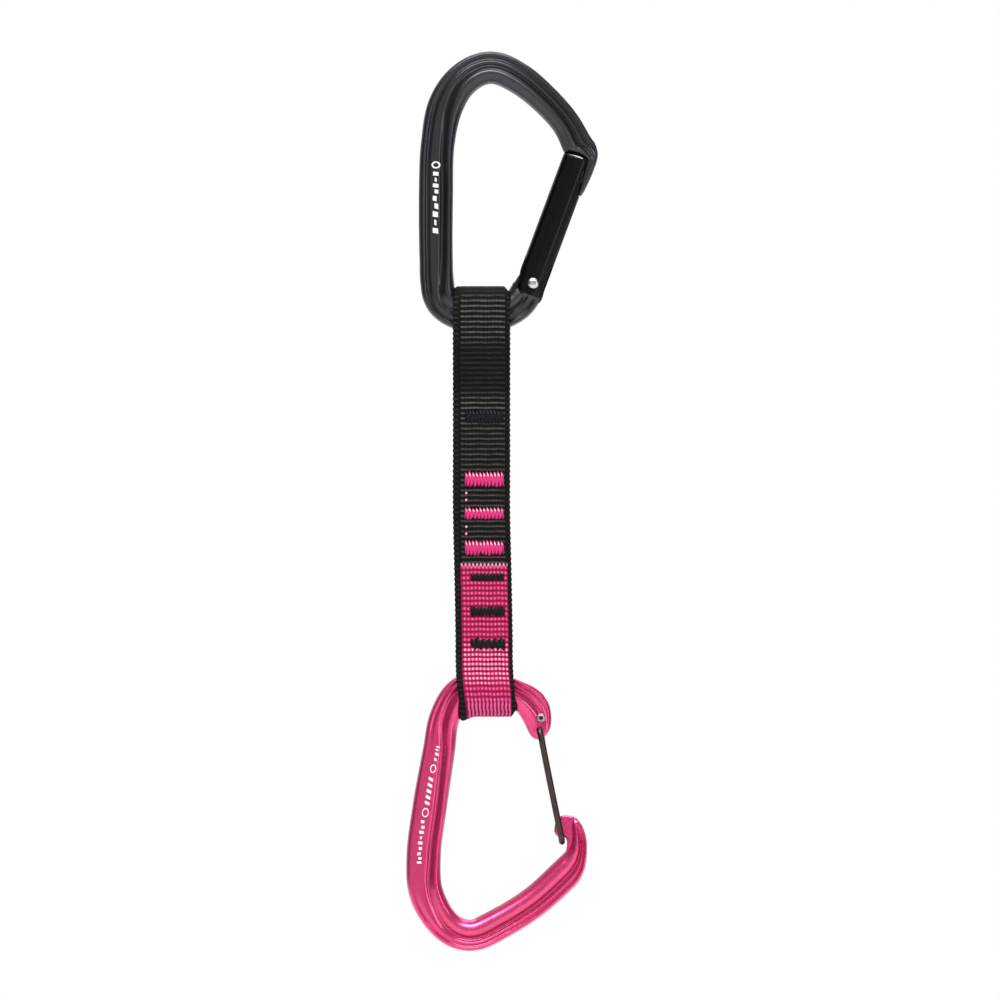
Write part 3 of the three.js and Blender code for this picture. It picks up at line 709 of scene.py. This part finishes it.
gateSizes = {
    "inner": 5.85, "outer": 4.6, "depth": 10.0, "heel": 3.85, "heelSide": 5.3, "heelCorner": 2.4,
    "rings": 400, "heelRings": 60, "half": 44,
    "slotTop": 6.6, "slotWidth": 4.7, "side": 0.6,
    "noseRest": 12.4, "besideNose": (3.7, 2.1),     # the nose lies on this much of the gate's outer side
}
gateSection = [
    (0, .2), (.012, .4), (.04, .62), (.09, .8), (.15, .87), (.28, .925), (.4, .975), (.45, .995), (.49, 1),
    (.54, .985), (.6, .955), (.67, .92), (.73, .88), (.78, .825), (.84, .735), (.9, .62),
    (.955, .47), (.99, .32), (1, .2),
]


def gateRings():
    # p runs between the gate's inner and outer limits at each height a, and y is the section's
    # share of half the depth
    g = gateSizes
    turn = np.linspace(0, np.pi / 2, g["heelRings"])
    straight = np.linspace(g["heelCorner"] - g["heel"], gateTop, g["rings"] - g["heelRings"] + 1)[1:]
    a = np.r_[-g["heel"] + g["heelCorner"] * (1 - np.cos(turn)), straight]
    low = np.clip((g["heelCorner"] - g["heel"] - a) / g["heelCorner"], 0, 1)
    corner = g["heelCorner"] * (1 - np.sqrt(np.maximum(1 - low ** 2, 0)))
    inner = -(g["heelSide"] + (g["inner"] - g["heelSide"]) * ease(a, -0.5, 3.5)) + corner
    outer = g["outer"] - 0.4 * corner
    step = gateTop - g["noseRest"]
    low0, high0 = g["besideNose"]
    tang = low0 + (high0 - low0) * np.clip((a - step) / g["noseRest"], 0, 1)
    tang = outer + (np.minimum(tang, outer) - outer) * ease(a, step - 0.35, step + 0.05)
    half = g["depth"] / 2 - 0.25 * (1 - ease(a, 2.0, 9.0))
    end = np.clip((a - (gateTop - 0.6)) / 0.6, 0, 1)
    pull = 1 - np.sqrt(1 - (0.98 * end) ** 2)
    inner, outer, tang, half = inner + 0.5 * pull, outer - 0.3 * pull, tang - 0.2 * pull, half - 0.6 * pull
    s = spline(np.asarray(gateSection), np.linspace(0, len(gateSection) - 1, g["half"]))
    # below the fork's crotch the sides stay thick enough to stand outside its slot
    share = np.maximum(s[None, :, 1], g["side"] * (1 - ease(a, 7.0, 10.0))[:, None])
    p = np.minimum(inner[:, None] + (outer - inner)[:, None] * s[None, :, 0], tang[:, None])
    x, z = gatePoint(p, np.broadcast_to(a[:, None], p.shape))
    front = np.stack([x, -share * half[:, None], z], -1)
    return np.concatenate([front, front[:, ::-1] * (1, -1, 1)], 1)


def cutAway(piece, cutters):
    # takes each cutter's volume out of the piece, and leaves no live modifier
    for cutter in cutters:
        change = piece.modifiers.new("cut", "BOOLEAN")
        change.operation = "DIFFERENCE"
        change.solver = "EXACT"
        change.object = cutter
    ready = piece.evaluated_get(bpy.context.evaluated_depsgraph_get())
    mesh = bpy.data.meshes.new_from_object(ready)
    piece.modifiers.clear()
    old, piece.data = piece.data, mesh
    bpy.data.meshes.remove(old)
    for cutter in cutters:
        bpy.data.meshes.remove(cutter.data)
    mesh.set_sharp_from_angle(angle=math.radians(38))


def gateBlock(name, p0, p1, y0, y1, a0, a1):
    # a plain block in the gate's axes, only ever used to cut with
    p, y, a = np.meshgrid([p0, p1], [y0, y1], [a0, a1], indexing="ij")
    x, z = gatePoint(p, a)
    points = np.stack([x, y, z], -1).reshape(-1, 3)
    quads = np.array([(0, 1, 3, 2), (4, 6, 7, 5), (0, 4, 5, 1), (2, 3, 7, 6), (0, 2, 6, 4), (1, 5, 7, 3)])
    return toMesh(name, [(points, facing(points, quads))], "gate")


rings = gateRings()
solidGate = toMesh("solid_gate", [closedTube(rings)], "gate")
slotHalf = gateSizes["slotWidth"] / 2
cutAway(solidGate, [
    gateBlock("cut_fork", -8, 8, -slotHalf, slotHalf, -8, gateSizes["slotTop"]),
    gateBlock("cut_key", -3.05, 8, -2.9, 2.9, gateTop - 8.15, gateTop - 3.75),
    gateBlock("cut_neck", -3.05, 8, -1.6, 1.6, gateTop - 4.5, gateTop + 2),
    gateBlock("cut_fin", 2.2, 8, -1.1, 1.1, gateTop - 12.6, gateTop - 3.4),
])
fit(solidGate, "upper_gate", "black_gate", "upper_gate")

rivet = {"head": 1.95, "dome": 0.95, "half": 5.12, "shank": 1.45}
turn = np.linspace(0, np.pi / 2, 10)
headRadius = rivet["head"] * np.sin(turn)
headHigh = rivet["half"] + rivet["dome"] * np.cos(turn) ** 0.9
profile = np.concatenate([
    np.stack([headRadius, -headHigh], 1),
    [(rivet["head"] * 0.985, -rivet["half"] + 0.12), (rivet["shank"], -rivet["half"] + 0.14),
     (rivet["shank"], rivet["half"] - 0.14), (rivet["head"] * 0.985, rivet["half"] - 0.12)],
    np.stack([headRadius, headHigh], 1)[::-1],
])
gateRivet = toMesh("gate_rivet", [turned(profile, upper["pin"])], "polished")
fit(gateRivet, "upper_carabiner", "polished_steel", "upper_gate_pin")
print("quickdraw: gate and rivet")

# the rope end, its body, wire gate and keeper
lower = {
    "top": -216.1, "bottom": -292.1,    # the opening's inner ends
    "cross": (25.15, -265.0),           # where the wire rests under the hook
    "pivot": (17.6, -223.9), "lean": math.radians(10.4),
    "hole": (.25, 2.15),                # from the hinge's axis to the upper hole
    "wire": 1.1, "lobeDepth": 6.4, "span": 3.6, "length": 41.8, "slack": 0.35,
}
top, bottom, cross = lower["top"], lower["bottom"], lower["cross"]
lobeTip = [
    (17.15, -229.46, 18.13, -229.11, 4.6), (16.2, -229.43, 19.43, -228.2, 5.4),
    (15.05, -228.97, 20.83, -226.28, 6.1), (14.18, -228.13, 21.4, -223.65, 6.4),
    (13.41, -226.8, 21.4, -220.5, 6.4), (12.6, -225.05, 20.65, -217, 6.6),
    (11.66, -223.13, 18.73, -213.5, 7), (10.33, -221.03, 15.75, -210.88, 7.8),
    (8.75, -218.93, 11.9, -208.95, 8.8),
]
armTip = [
    # from the wire's resting place under the hook
    (4.1, 8.2, 5.5, 7.9, 4.6), (3.5, 7, 6.7, 6.3, 6.2), (3.3, 5, 7.9, 3.6, 7.4), (3.35, 2.6, 8.7, .3, 8),
    (3.2, 0, 8.8, -3.4, 8.2), (2.4, -2.2, 8.5, -7.4, 8.3), (.6, -4.3, 7.75, -11.2, 8.4),
]
armTip = [
    (cross[0] + x0, cross[1] + z0, cross[0] + x1, cross[1] + z1, depth) for x0, z0, x1, z1, depth in armTip
]
lowerBar = Bar([
    (right - .6, top - .2, 9.6, 9.4, 0), (-2.9, top + .2, 10.8, 9.4, 0),
    (left + 5.6, top - 1, 10.5, 9.4, .08), (left + 2, top - 7.6, 10.7, 9.2, .3),
    (left + .6, top - 18, 11.3, 8.8, .7), (left - 2.3, top - 38, 12, 8.2, 1),
    (left - 4.3, top - 54, 12, 8.4, 1), (left - 3.5, top - 66, 12, 8.8, .7),
    (left + 1.6, bottom + 1.7, 11.5, 9.3, .2), (-7, bottom, 11.5, 9.4, 0), (.3, bottom + 3, 11.3, 9.4, 0),
    (12.3, bottom + 10.4, 11.1, 9.4, 0), (cross[0] - 1.3, cross[1] - 6.1, 11.3, 8.8, 0),
], "pinkBasket", "pinkSpine", (lobeTip, armTip), ((2, 7), (.8, 3.2)))
# the rings come with the bar's wear and the painted shade of its grooves
lowerRings, lowerWearAndShade = lowerBar.rings(body["rings"])


def fromCross(pairs):
    return [(cross[0] + x, cross[1] + z) for x, z in pairs]


hook = cushionPlate(fromCross([
    (1.6, -4.5), (1.75, -1.5), (1.6, .7), (.6, 1.7), (-1.5, 1.75), (-2.5, 2.8), (-2.6, 4.6), (-2.2, 6.6),
    (0, 8.9), (2.2, 9.1), (5, 8), (6, 3), (6, -4),
]), 4.2, 0.8, 180, fromCross([(2.9, 4.2)])[0])
surfaces = [closedTube(lowerRings), hook]
pinkBody = toMesh("pink_body", surfaces, "magenta", bodyValues(lowerWearAndShade, surfaces))
fit(pinkBody, "lower_carabiner", "magenta_anodised", "lower_frame")
print("quickdraw: pink body")


def alongWire(across, down):
    c, s = math.cos(lower["lean"]), math.sin(lower["lean"])
    return (lower["pivot"][0] + across * c + down * s, lower["pivot"][1] + across * s - down * c)


def wirePath():
    # in at the upper hole, down the back, under the hook, up the front, in at the lower hole
    out = lower["lobeDepth"] / 2 + lower["slack"] + lower["wire"]
    (pivotX, pivotZ), (holeX, holeZ) = lower["pivot"], lower["hole"]
    topX, topZ, endX, endZ = pivotX + holeX, pivotZ + holeZ, pivotX - holeX, pivotZ - holeZ
    kneeX, kneeZ = alongWire(-.5, 9)
    shinX, shinZ = alongWire(0, lower["length"] - 4)
    crossX, crossZ = alongWire(0, lower["length"])
    span = lower["span"]
    return [
        (topX, -out + .6, topZ), (topX, 0, topZ), (topX, out - 1.2, topZ), (topX, out + .15, topZ - 1.2),
        (kneeX - .6, out + .1, kneeZ + 3.8), (kneeX, out, kneeZ), (shinX, span + .2, shinZ),
        (crossX - .2, span, crossZ + 1.6), (crossX, span - 1.6, crossZ), (crossX, 0, crossZ),
        (crossX, -span + 1.6, crossZ), (crossX - .2, -span, crossZ + 1.6), (shinX, -span - .2, shinZ),
        (kneeX, -out, kneeZ), (kneeX - .7, -out - .1, kneeZ + 3.6), (endX, -out + 1.2, endZ), (endX, 0, endZ),
        (endX, out - .8, endZ),
    ]


stops = wirePath()
wireRings = 520
path = evenly(spline(stops, np.linspace(0, len(stops) - 1, 3000)), wireRings)
fromEnd = np.minimum(np.arange(wireRings), np.arange(wireRings)[::-1])
thick = lower["wire"] * np.sqrt(1 - (1 - np.clip((fromEnd + 0.4) / 5, 0, 1)) ** 2)
wireGate = toMesh("wire_gate_loop", [closedTube(pipe(path, thick))], "spring")
fit(wireGate, "wire_gate", "spring_steel", "wire_gate")

peen = {"radius": 1.6, "dome": 0.75, "face": 3.2, "shank": 0.9}
headRadius = peen["radius"] * np.sin(turn)
headHigh = peen["face"] + peen["dome"] * np.cos(turn)
profile = np.concatenate([
    np.stack([headRadius, -headHigh], 1), [(peen["shank"], -peen["face"] + 0.8), (0, -peen["face"] + 0.9)],
])
hole = [p + h for p, h in zip(lower["pivot"], lower["hole"])]
wireHead = toMesh("wire_head", [turned(profile, hole)], "peened")
fit(wireHead, "wire_gate", "spring_steel")

pad = {
    "x": 0.3, "width": 11.6, "top": -216.7, "low": -219.7, "halfDepth": 4.0,
    "square": 0.55,         # 1 is round, 0 is square
    "taper": 0.35, "ribs": 0.03, "grid": (60, 72),
}
along = np.linspace(-1, 1, pad["grid"][0])
around = np.linspace(0, 2 * np.pi, pad["grid"][1], endpoint=False)
high = (pad["top"] - pad["low"]) / 2
y = pad["halfDepth"] * np.sign(np.cos(around)) * np.abs(np.cos(around)) ** pad["square"]
z = high * np.sign(np.sin(around)) * np.abs(np.sin(around)) ** pad["square"]
y = y * (1 - pad["taper"] * ease(-z, -high, high))
size = (1 - np.abs(along) ** 8) ** 0.25
ribs = 1 + pad["ribs"] * np.cos(along * 22)
rows = np.stack([
    np.broadcast_to((pad["x"] + pad["width"] / 2 * along)[:, None], pad["grid"]),
    y[None] * size[:, None] * 0.98,
    pad["low"] + high + z[None] * (size * ribs)[:, None] * 0.97,
], -1)
keeper = toMesh("tape_keeper", [closedTube(rows)], "rubber")
fit(keeper, "lower_carabiner", "rubber", "keeper")
print("quickdraw: wire gate and keeper")

# one flat tape, sewn into an eye at each end
tape = {
    "x": -2.95, "width": 20.0, "thick": 1.5, "layer": 1.8,
    "crown": -71.45, "foot": -220.75, "upperEye": 6.45, "lowerEye": 6.45,
    "topTack": -116.4, "bottomTack": -196.0,
    "step": 0.22,           # spacing of the weave's points
    "across": 88, "under": 16,
    "relief": 0.17,
    "drift": 0.9,
    "bumps": 0.012,         # how far the selvedges stand out at each rib, as a share of half the width
}


def weaveLift(across, along):
    # Height of the weave from 0 to 1: ribs across the tape, cut into floats by the warp's columns,
    # every other column half a rib lower where the yarn is pink; flat selvedge cords at both edges.
    row = along / weave["ribPitch"]
    column = across / weave["columnPitch"]
    rib = 0.5 + 0.5 * np.cos(2 * np.pi * (row + 0.03 * np.sin(across * 0.9 + 0.7 * np.sin(along * 0.21))))
    dent = 0.5 + 0.5 * np.cos(2 * np.pi * column)
    ribbed = rib ** 0.8 * (0.86 + 0.14 * dent)
    dotted = rib ** 0.55 * (0.42 + 0.58 * dent ** 0.8)
    wavy = 0.3 + 0.7 * (0.5 + 0.5 * np.cos(2 * np.pi * (column + 0.06 * np.sin(np.pi * row))))
    pink = 1 - ease(along, weave["changeAt"] - 0.3, weave["changeAt"] + 0.3)
    foot = 1 - ease(along, -218.0, -214.0)
    field = ribbed + (dotted - ribbed) * pink
    field = field + (wavy * (0.88 + 0.12 * rib) - field) * foot
    cord = 0.15 + 0.55 * (0.5 + 0.5 * np.cos(2 * np.pi * (row + 0.3))) ** 0.7
    edge = np.maximum(ease(across, 8.3, 8.8), ease(-across, 7.5, 8.0))
    seam = np.exp(-((across - 8.5) / 0.3) ** 2) + np.exp(-((across + 7.7) / 0.3) ** 2)
    return (field + (cord - field) * edge) * (1 - 0.6 * seam)


def strip(stops, side, alongAt, hang=None):
    # Carries a lens-ended section (half thickness times (1 - w^14)^0.5) along a route in y and z.
    # stops are (y, z, width, drift); side is the way that the outer face looks; alongAt gives the
    # tape's own coordinate from the distance run and the whole length.
    stops = np.asarray(stops, float)
    count = np.linspace(0, len(stops) - 1, 4000)
    route = spline(stops[:, [3, 0, 1]], count)
    wide = spline(stops[:, 2:3], count)
    run = np.r_[0, np.cumsum(np.linalg.norm(np.diff(route[:, 1:], axis=0), axis=1))]
    total = run[-1]
    s = np.linspace(0, total, max(int(total / tape["step"]), 8))
    x, y, z = (np.interp(s, run, column) for column in route.T)
    width = np.interp(s, run, wide[:, 0])
    way = unit(np.stack([np.gradient(y, s), np.gradient(z, s)], 1))
    normal = side * np.stack([-way[:, 1], way[:, 0]], 1)
    along = alongAt(s, total)
    w = np.r_[np.linspace(-1, 1, tape["across"]), np.linspace(1, -1, tape["under"] + 2)[1:-1]]
    outer = np.arange(len(w)) < tape["across"]
    half = tape["thick"] / 2 * np.sqrt(1 - np.abs(w) ** 14)
    lift = weaveLift(w[None] * tape["width"] / 2, along[:, None])
    fade = np.where(outer, 1 - np.abs(w) ** 20, 0)
    high = np.where(outer, half, -half)[None] + (lift - 0.75) * fade * tape["relief"]
    if hang:
        # how far the left and right edges stand out of the turn, and the share of the width each takes
        near = ease(1 - np.abs(s - total / 2) / 7.0, 0.0, 1.0)[:, None]
        high = high + near * (hang[0] * ease(-w, 1 - hang[2], 1.0) + hang[1] * ease(w, 1 - hang[3], 1.0))
    ripple = np.cos(2 * np.pi * (along / weave["ribPitch"] + 0.3))[:, None]
    bumps = 1 + tape["bumps"] * ripple * np.abs(w) ** 10
    px = x[:, None] + tape["x"] + w[None] * width[:, None] / 2 * bumps
    py = y[:, None] + normal[:, :1] * high
    pz = z[:, None] + normal[:, 1:] * high
    rings = np.stack([px, py, pz], -1)
    uv = np.stack(np.broadcast_arrays(w[None] * tape["width"] / 2, along[:, None]), -1)
    value = np.where(outer, lift, 0.25)
    quads = gridFaces(len(s), len(w), True)
    k = np.arange(tape["under"] + 1)
    # each end: the outer face's points close onto the nearest ones of the inner face
    ends = []
    for row in (0, (len(s) - 1) * len(w)):
        front = np.linspace(0, tape["across"] - 1, tape["under"] + 2).round().astype(int)
        back = np.r_[0, len(w) - 1 - np.arange(tape["under"]), tape["across"] - 1]
        lid = np.stack([front[k], front[k + 1], back[k + 1], back[k]], -1) + row
        ends.append(lid if row else lid[:, ::-1])
    quads = np.concatenate([quads] + ends)
    return (rings, facing(rings, quads)), value, uv


def sewTape(name, parts, nodes):
    surfaces, values, uvs = zip(*[strip(*part) for part in parts])
    piece = toMesh(name, surfaces, "tape", {"lift": values}, uvs)
    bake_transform(piece)
    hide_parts(*nodes)
    return piece


def mirrored(stops):
    # one side of an eye, then the same stations back down the other side
    return stops + [(-y, *rest) for y, *rest in stops[-2::-1]]


layerY, wide, eye = tape["layer"], tape["width"], tape["upperEye"]
crown = tape["crown"]
sewTape("tape_upper_eye", [(mirrored([
    (-layerY, tape["topTack"], wide, 0), (-layerY, -111.5, wide, 0), (-2.3, -106, wide, 0),
    (-4.55, -97, wide, 0), (-eye, -87.5, wide, 0), (-eye, crown - eye, wide, 0),
    (-.87 * eye, crown - .5 * eye, 19.8, 0),
    (-.5 * eye, crown - .13 * eye, 19.5, 0), (0, crown, 19.4, 0),
]), 1, lambda s, total: tape["topTack"] + np.minimum(s, total - s), (-0.5, -1.7, .16, .2))],
    ["webbing_upper_loop"])

drift = tape["drift"]
for name, y, side, nodes in (
    ("tape_front", -layerY, 1, ["webbing_front_upper", "webbing_front_lower"]),
    ("tape_back", layerY, -1, ["webbing_back_upper", "webbing_back_lower"]),
):
    sewTape(name, [([
        (y, tape["bottomTack"], wide, drift), (y, -186, wide, drift * .85), (y, -170, wide, drift * .5),
        (y, -150, wide, 0), (y, -130, wide, 0), (y, tape["topTack"], wide, 0),
    ], side, lambda s, total: tape["bottomTack"] + s)],
        nodes)
sewTape("tape_ends", [([
    (0, tape["bottomTack"] - 1.5, wide - 1, drift), (0, -170, wide - 1, drift * .5), (0, -140, wide - 1, 0),
    (0, tape["topTack"] + 2, wide - 1, 0),
], 1, lambda s, total: tape["bottomTack"] + s)],
    ["webbing_end_upper", "webbing_end_lower"])

eye, foot = tape["lowerEye"], tape["foot"]
sewTape("tape_lower_eye", [(mirrored([
    (-layerY, tape["bottomTack"], wide, drift), (-2.3, -200.5, wide, drift), (-4.6, -206.5, wide, 1.1),
    (-eye, -211, wide, 1.5), (-eye, -214.6, 19.8, 1.9), (-.78 * eye, foot + 2, 19.4, 2.2),
    (-.4 * eye, foot + .35, 19.2, 2.3), (0, foot, 19.2, 2.3),
]), -1, lambda s, total: tape["bottomTack"] - np.minimum(s, total - s), (1.6, -2.0, .55, .16))],
    ["webbing_lower_loop"])
print("quickdraw: tape")

tacks = {
    # middle z, height, left and right edges, thread, teeth, how ragged the top and bottom are
    "bartack_1": (-116.4, 5.0, -8.8, 4.8, "blackThread", 11, .2, .2),
    "bartack_2": (-138.3, 5.6, -8.9, 4.9, "pinkThread", 11, .3, .14),
    "bartack_3": (-150.3, 4.4, -8.9, 4.9, "pinkThread", 11, .34, .16),
    "bartack_4": (-162.3, 5.4, -8.9, 4.9, "pinkThread", 11, .34, .16),
    "bartack_5": (-172.6, 2.6, -6.8, 4.9, "blackThread", 10, .2, .24),
    "bartack_6": (-184.6, 3.6, -6.8, 5.2, "blackThread", 10, .24, .3),
    "bartack_7": (-196.0, 4.6, -6.8, 5.3, "blackThread", 6, .34, .6),
}
tackShape = {"columns": 150, "rows": 40, "rise": 0.62, "strand": 0.3, "face": 2.5, "uneven": 0.12}


def tackSheet(row, seed, back):
    # Zigzag sewing: strands slant up and down between teeth at the top and bottom edges. Height is
    # a flat-topped dome plus the taller of two sets of round strands, sunk into the tape at its border.
    z, height, x0, x1, _, teeth, top, bottom = row
    g = tackShape
    u, v = np.meshgrid(np.linspace(0, 1, g["columns"]), np.linspace(-1, 1, g["rows"]), indexing="ij")
    rng = np.random.default_rng(seed)
    wobble = np.interp(u[:, 0], np.linspace(0, 1, teeth * 2 + 1), rng.normal(0, 1, teeth * 2 + 1))[:, None]
    phase = u * teeth
    rising = np.abs(((phase - 0.5 * v * 0.5 + 0.25) % 1) - 0.5) * 2
    falling = np.abs(((phase + 0.5 * v * 0.5 + 0.75) % 1) - 0.5) * 2
    strand = np.maximum(1 - (rising / 0.62) ** 2, 1 - (falling / 0.62) ** 2)
    strand = np.sqrt(np.clip(strand, 0, 1))
    gap = 0.5 + 0.5 * np.cos(2 * np.pi * (phase + np.where(v > 0, 0.25, 0.75)))
    gap = np.where(v > 0, top, bottom) * gap
    tooth = 1 - gap - g["uneven"] * np.clip(wobble, -1, 1.2) * np.abs(v)
    dome = (1 - np.abs(v) ** 6) ** 0.5 * (1 - np.abs(2 * u - 1) ** 16) ** 0.5
    high = -0.25 + (g["rise"] + 0.25) * dome + g["strand"] * strand * dome + 0.05 * wobble * dome
    x = x0 + (x1 - x0) * u + 0.04 * wobble
    side = 1 if back else -1
    front = np.stack([x, side * (g["face"] + high), z + v * tooth * height / 2], -1)
    # painted highlight: the strands are palest at their upper ends; painted shade dims them towards the tack's
    # border
    return front, strand * (0.35 + 0.65 * dome) * (0.72 + 0.28 * ease(v, 0.2, 0.7))


for number, (name, row) in enumerate(tacks.items()):
    surfaces, strands = [], []
    for back in (False, True):
        front, strand = tackSheet(row, number + 10 * back, back)
        under = front * (1, 0, 1) + (0, (2.0 if back else -2.0), 0)
        surfaces.append(slab(front, under))
        strands += [strand, np.zeros_like(strand)]
    piece = toMesh(name + "_thread", surfaces, row[4], {"strand": strands})
    if number == 0:
        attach(piece, "sling_upper")
    elif number == 6:
        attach(piece, "sling_lower")
    else:
        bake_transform(piece)
    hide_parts(name)


def bead(x, z, halfX, halfZ, rise, side):
    # one visible stitch: half an egg standing out of the tape
    a, b = np.meshgrid(np.linspace(-1, 1, 9), np.linspace(-1, 1, 9), indexing="ij")
    r = np.sqrt(np.clip(1 - (a * a + b * b) / 2, 0, 1))
    px, pz = a * np.sqrt(1 - b * b / 2), b * np.sqrt(1 - a * a / 2)
    high = rise * (np.sqrt(np.clip(1 - px**2 - pz**2, 0, 1)) * 1.2 - 0.2)
    front = np.stack([x + halfX * px, side * (tape["layer"] + 0.7 + high), z + halfZ * pz], -1)
    back = front * (1, 0, 1) + (0, side * 2.0, 0)
    # r paints the stitch with a highlight in its middle and shade at its rim
    return slab(front, back), [r, np.zeros_like(r)]


stitches = {"x": -8.3, "z": [-143.2, -145.6, -155.0, -157.4], "size": (0.42, 0.55, 0.4)}
surfaces, strands = [], []
for z in stitches["z"]:
    for side in (-1, 1):
        shape, strand = bead(stitches["x"], z, *stitches["size"], side)
        surfaces.append(shape)
        strands += strand
running = toMesh("running_stitches", surfaces, "pinkThread", {"strand": strands})
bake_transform(running)
print("quickdraw: stitching")

# plain marks on the two flat spines
marks = {"lift": 0.05, "sink": 0.25}


def markPatch(bar, at, share):
    # a grid of stations and shares laid on the bar's face as a thin layer of paint
    shape = np.shape(at)
    front = bar.at(np.ravel(at), np.ravel(share), marks["lift"]).reshape(*shape, 3)
    back = bar.at(np.ravel(at), np.ravel(share), -marks["sink"]).reshape(*shape, 3)
    return slab(front, back)


def markBlock(bar, at0, at1, share0, share1, slant=0.0):
    u, v = np.meshgrid(np.linspace(0, 1, 10), np.linspace(0, 1, 6), indexing="ij")
    return markPatch(bar, at0 + (at1 - at0) * u + slant * v, share0 + (share1 - share0) * v)


def markRing(bar, at, share, radiusAt, radiusShare, wall):
    turn, r = np.meshgrid(np.linspace(0.02, 2 * np.pi - 0.02, 48), np.linspace(1 - wall, 1, 4), indexing="ij")
    return markPatch(bar, at + radiusAt * r * np.cos(turn), share + radiusShare * r * np.sin(turn))


blackMarks = [markRing(upperBar, 7.44, .49, .07, .13, .36)]
blackMarks += [
    markBlock(upperBar, 7.57 + .118 * k, 7.645 + .118 * k, .41 + .05 * (k % 2), .57 - .05 * (k % 3 == 1), .012)
    for k in range(9)
]
upperMarks = toMesh("upper_marks", blackMarks, "mark")
fit(upperMarks, "upper_carabiner", "black_anodised")

pinkMarks = [markBlock(lowerBar, 3.84 + .1 * k, 3.89 + .1 * k, .4, .52 - .04 * (k % 2), .02) for k in range(4)]
pinkMarks += [markRing(lowerBar, 4.34, .42, .075, .09, .3)]
pinkMarks += [markBlock(lowerBar, 4.48 + .1 * k, 4.53 + .1 * k, .34, .48, .03) for k in range(5)]
pinkMarks += [markRing(lowerBar, 5.11, .4, .1, .1, .26)]
pinkMarks += [
    markBlock(lowerBar, 5.28 + .11 * k, 5.34 + .11 * k, .31 + .04 * (k % 2), .44 - .03 * (k % 3 == 0))
    for k in range(9)
]
lowerMarks = toMesh("lower_marks", pinkMarks, "pinkMark")
fit(lowerMarks, "lower_carabiner", "magenta_anodised")
print("quickdraw: marks")

# the two inner CAD pieces stay and only get a finish
for name in ("upper_gate_plunger", "upper_gate_spring"):
    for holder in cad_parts[name].material_slots:
        holder.material = finishes["polished" if name.endswith("plunger") else "spring"]

lights = {
    # name: where it stands and looks at, width, height, power
    "key": ((-150, -1250, 1250), (0, 0, -140), 1500, 520, 40.0),
    "fill": ((1250, -1250, 0), (0, 0, -150), 260, 1300, 6.0),
    "low": ((-300, -1150, -1200), (0, 0, -200), 1100, 260, 3.5),
    "top": ((100, 300, 1300), (0, 0, -100), 1400, 900, 14.0),
    "rear": ((300, 1500, 500), (0, 0, -150), 1200, 900, 8.0),
}


def addLights():
    for name, (place, aim, width, height, power) in lights.items():
        data = bpy.data.lights.new(name, "AREA")
        data.shape = "RECTANGLE"
        data.size, data.size_y = width * metres, height * metres
        data.energy = power
        lamp = bpy.data.objects.new(name, data)
        scene.collection.objects.link(lamp)
        lamp.location = Vector(place) * metres
        lamp.rotation_euler = (Vector(aim) - Vector(place)).to_track_quat("-Z", "Y").to_euler()


def addWorld():
    # white where the camera looks past the object, a soft studio gradient in reflections
    world = bpy.data.worlds.new("studio")
    world.use_nodes = True
    world.node_tree.nodes.clear()
    tree = Tree(world)
    _, deep, up = tree.split(tree.node("TexCoord")[0])
    glow = up.ramp(0.3, 0.95, 0.0, 0.45) + deep.ramp(0.1, 0.9, 0.0, 0.45)
    glow = glow + (-deep).ramp(0.72, 0.99, 0.0, 0.5) + 0.08
    seen = tree.node("LightPath")[0]
    room = tree.node("Background", None, {"Color": (1, 1, 1, 1), "Strength": glow})[0]
    white = tree.node("Background", None, {"Color": (1, 1, 1, 1), "Strength": 1.0})[0]
    mixed = tree.node("MixShader", None, {0: seen, 1: room, 2: white})[0]
    tree.node("OutputWorld", None, {"Surface": mixed})
    scene.world = world


def addFloor():
    turn, r = np.meshgrid(np.linspace(0, 2 * np.pi, 64, endpoint=False), [1e-3, .5, 1], indexing="ij")
    reach = r * view["floorRadius"]
    points = np.stack([reach * np.cos(turn), reach * np.sin(turn), np.full_like(turn, -view["floorDrop"])], -1)
    points = points.transpose(1, 0, 2)
    material, tree, at = newMaterial("pale_floor")
    pale = tree.blend(tree.noise(at, 3.0), colour("e6e6e6"), colour("efefef"))
    tree.surface({"Base Color": pale, "Roughness": 0.9})
    finishes["floor"] = material
    floor = toMesh("floor", [(points, gridFaces(3, 64, True)[:, ::-1])], "floor")


addLights()
addWorld()
addFloor()
print("quickdraw: studio")
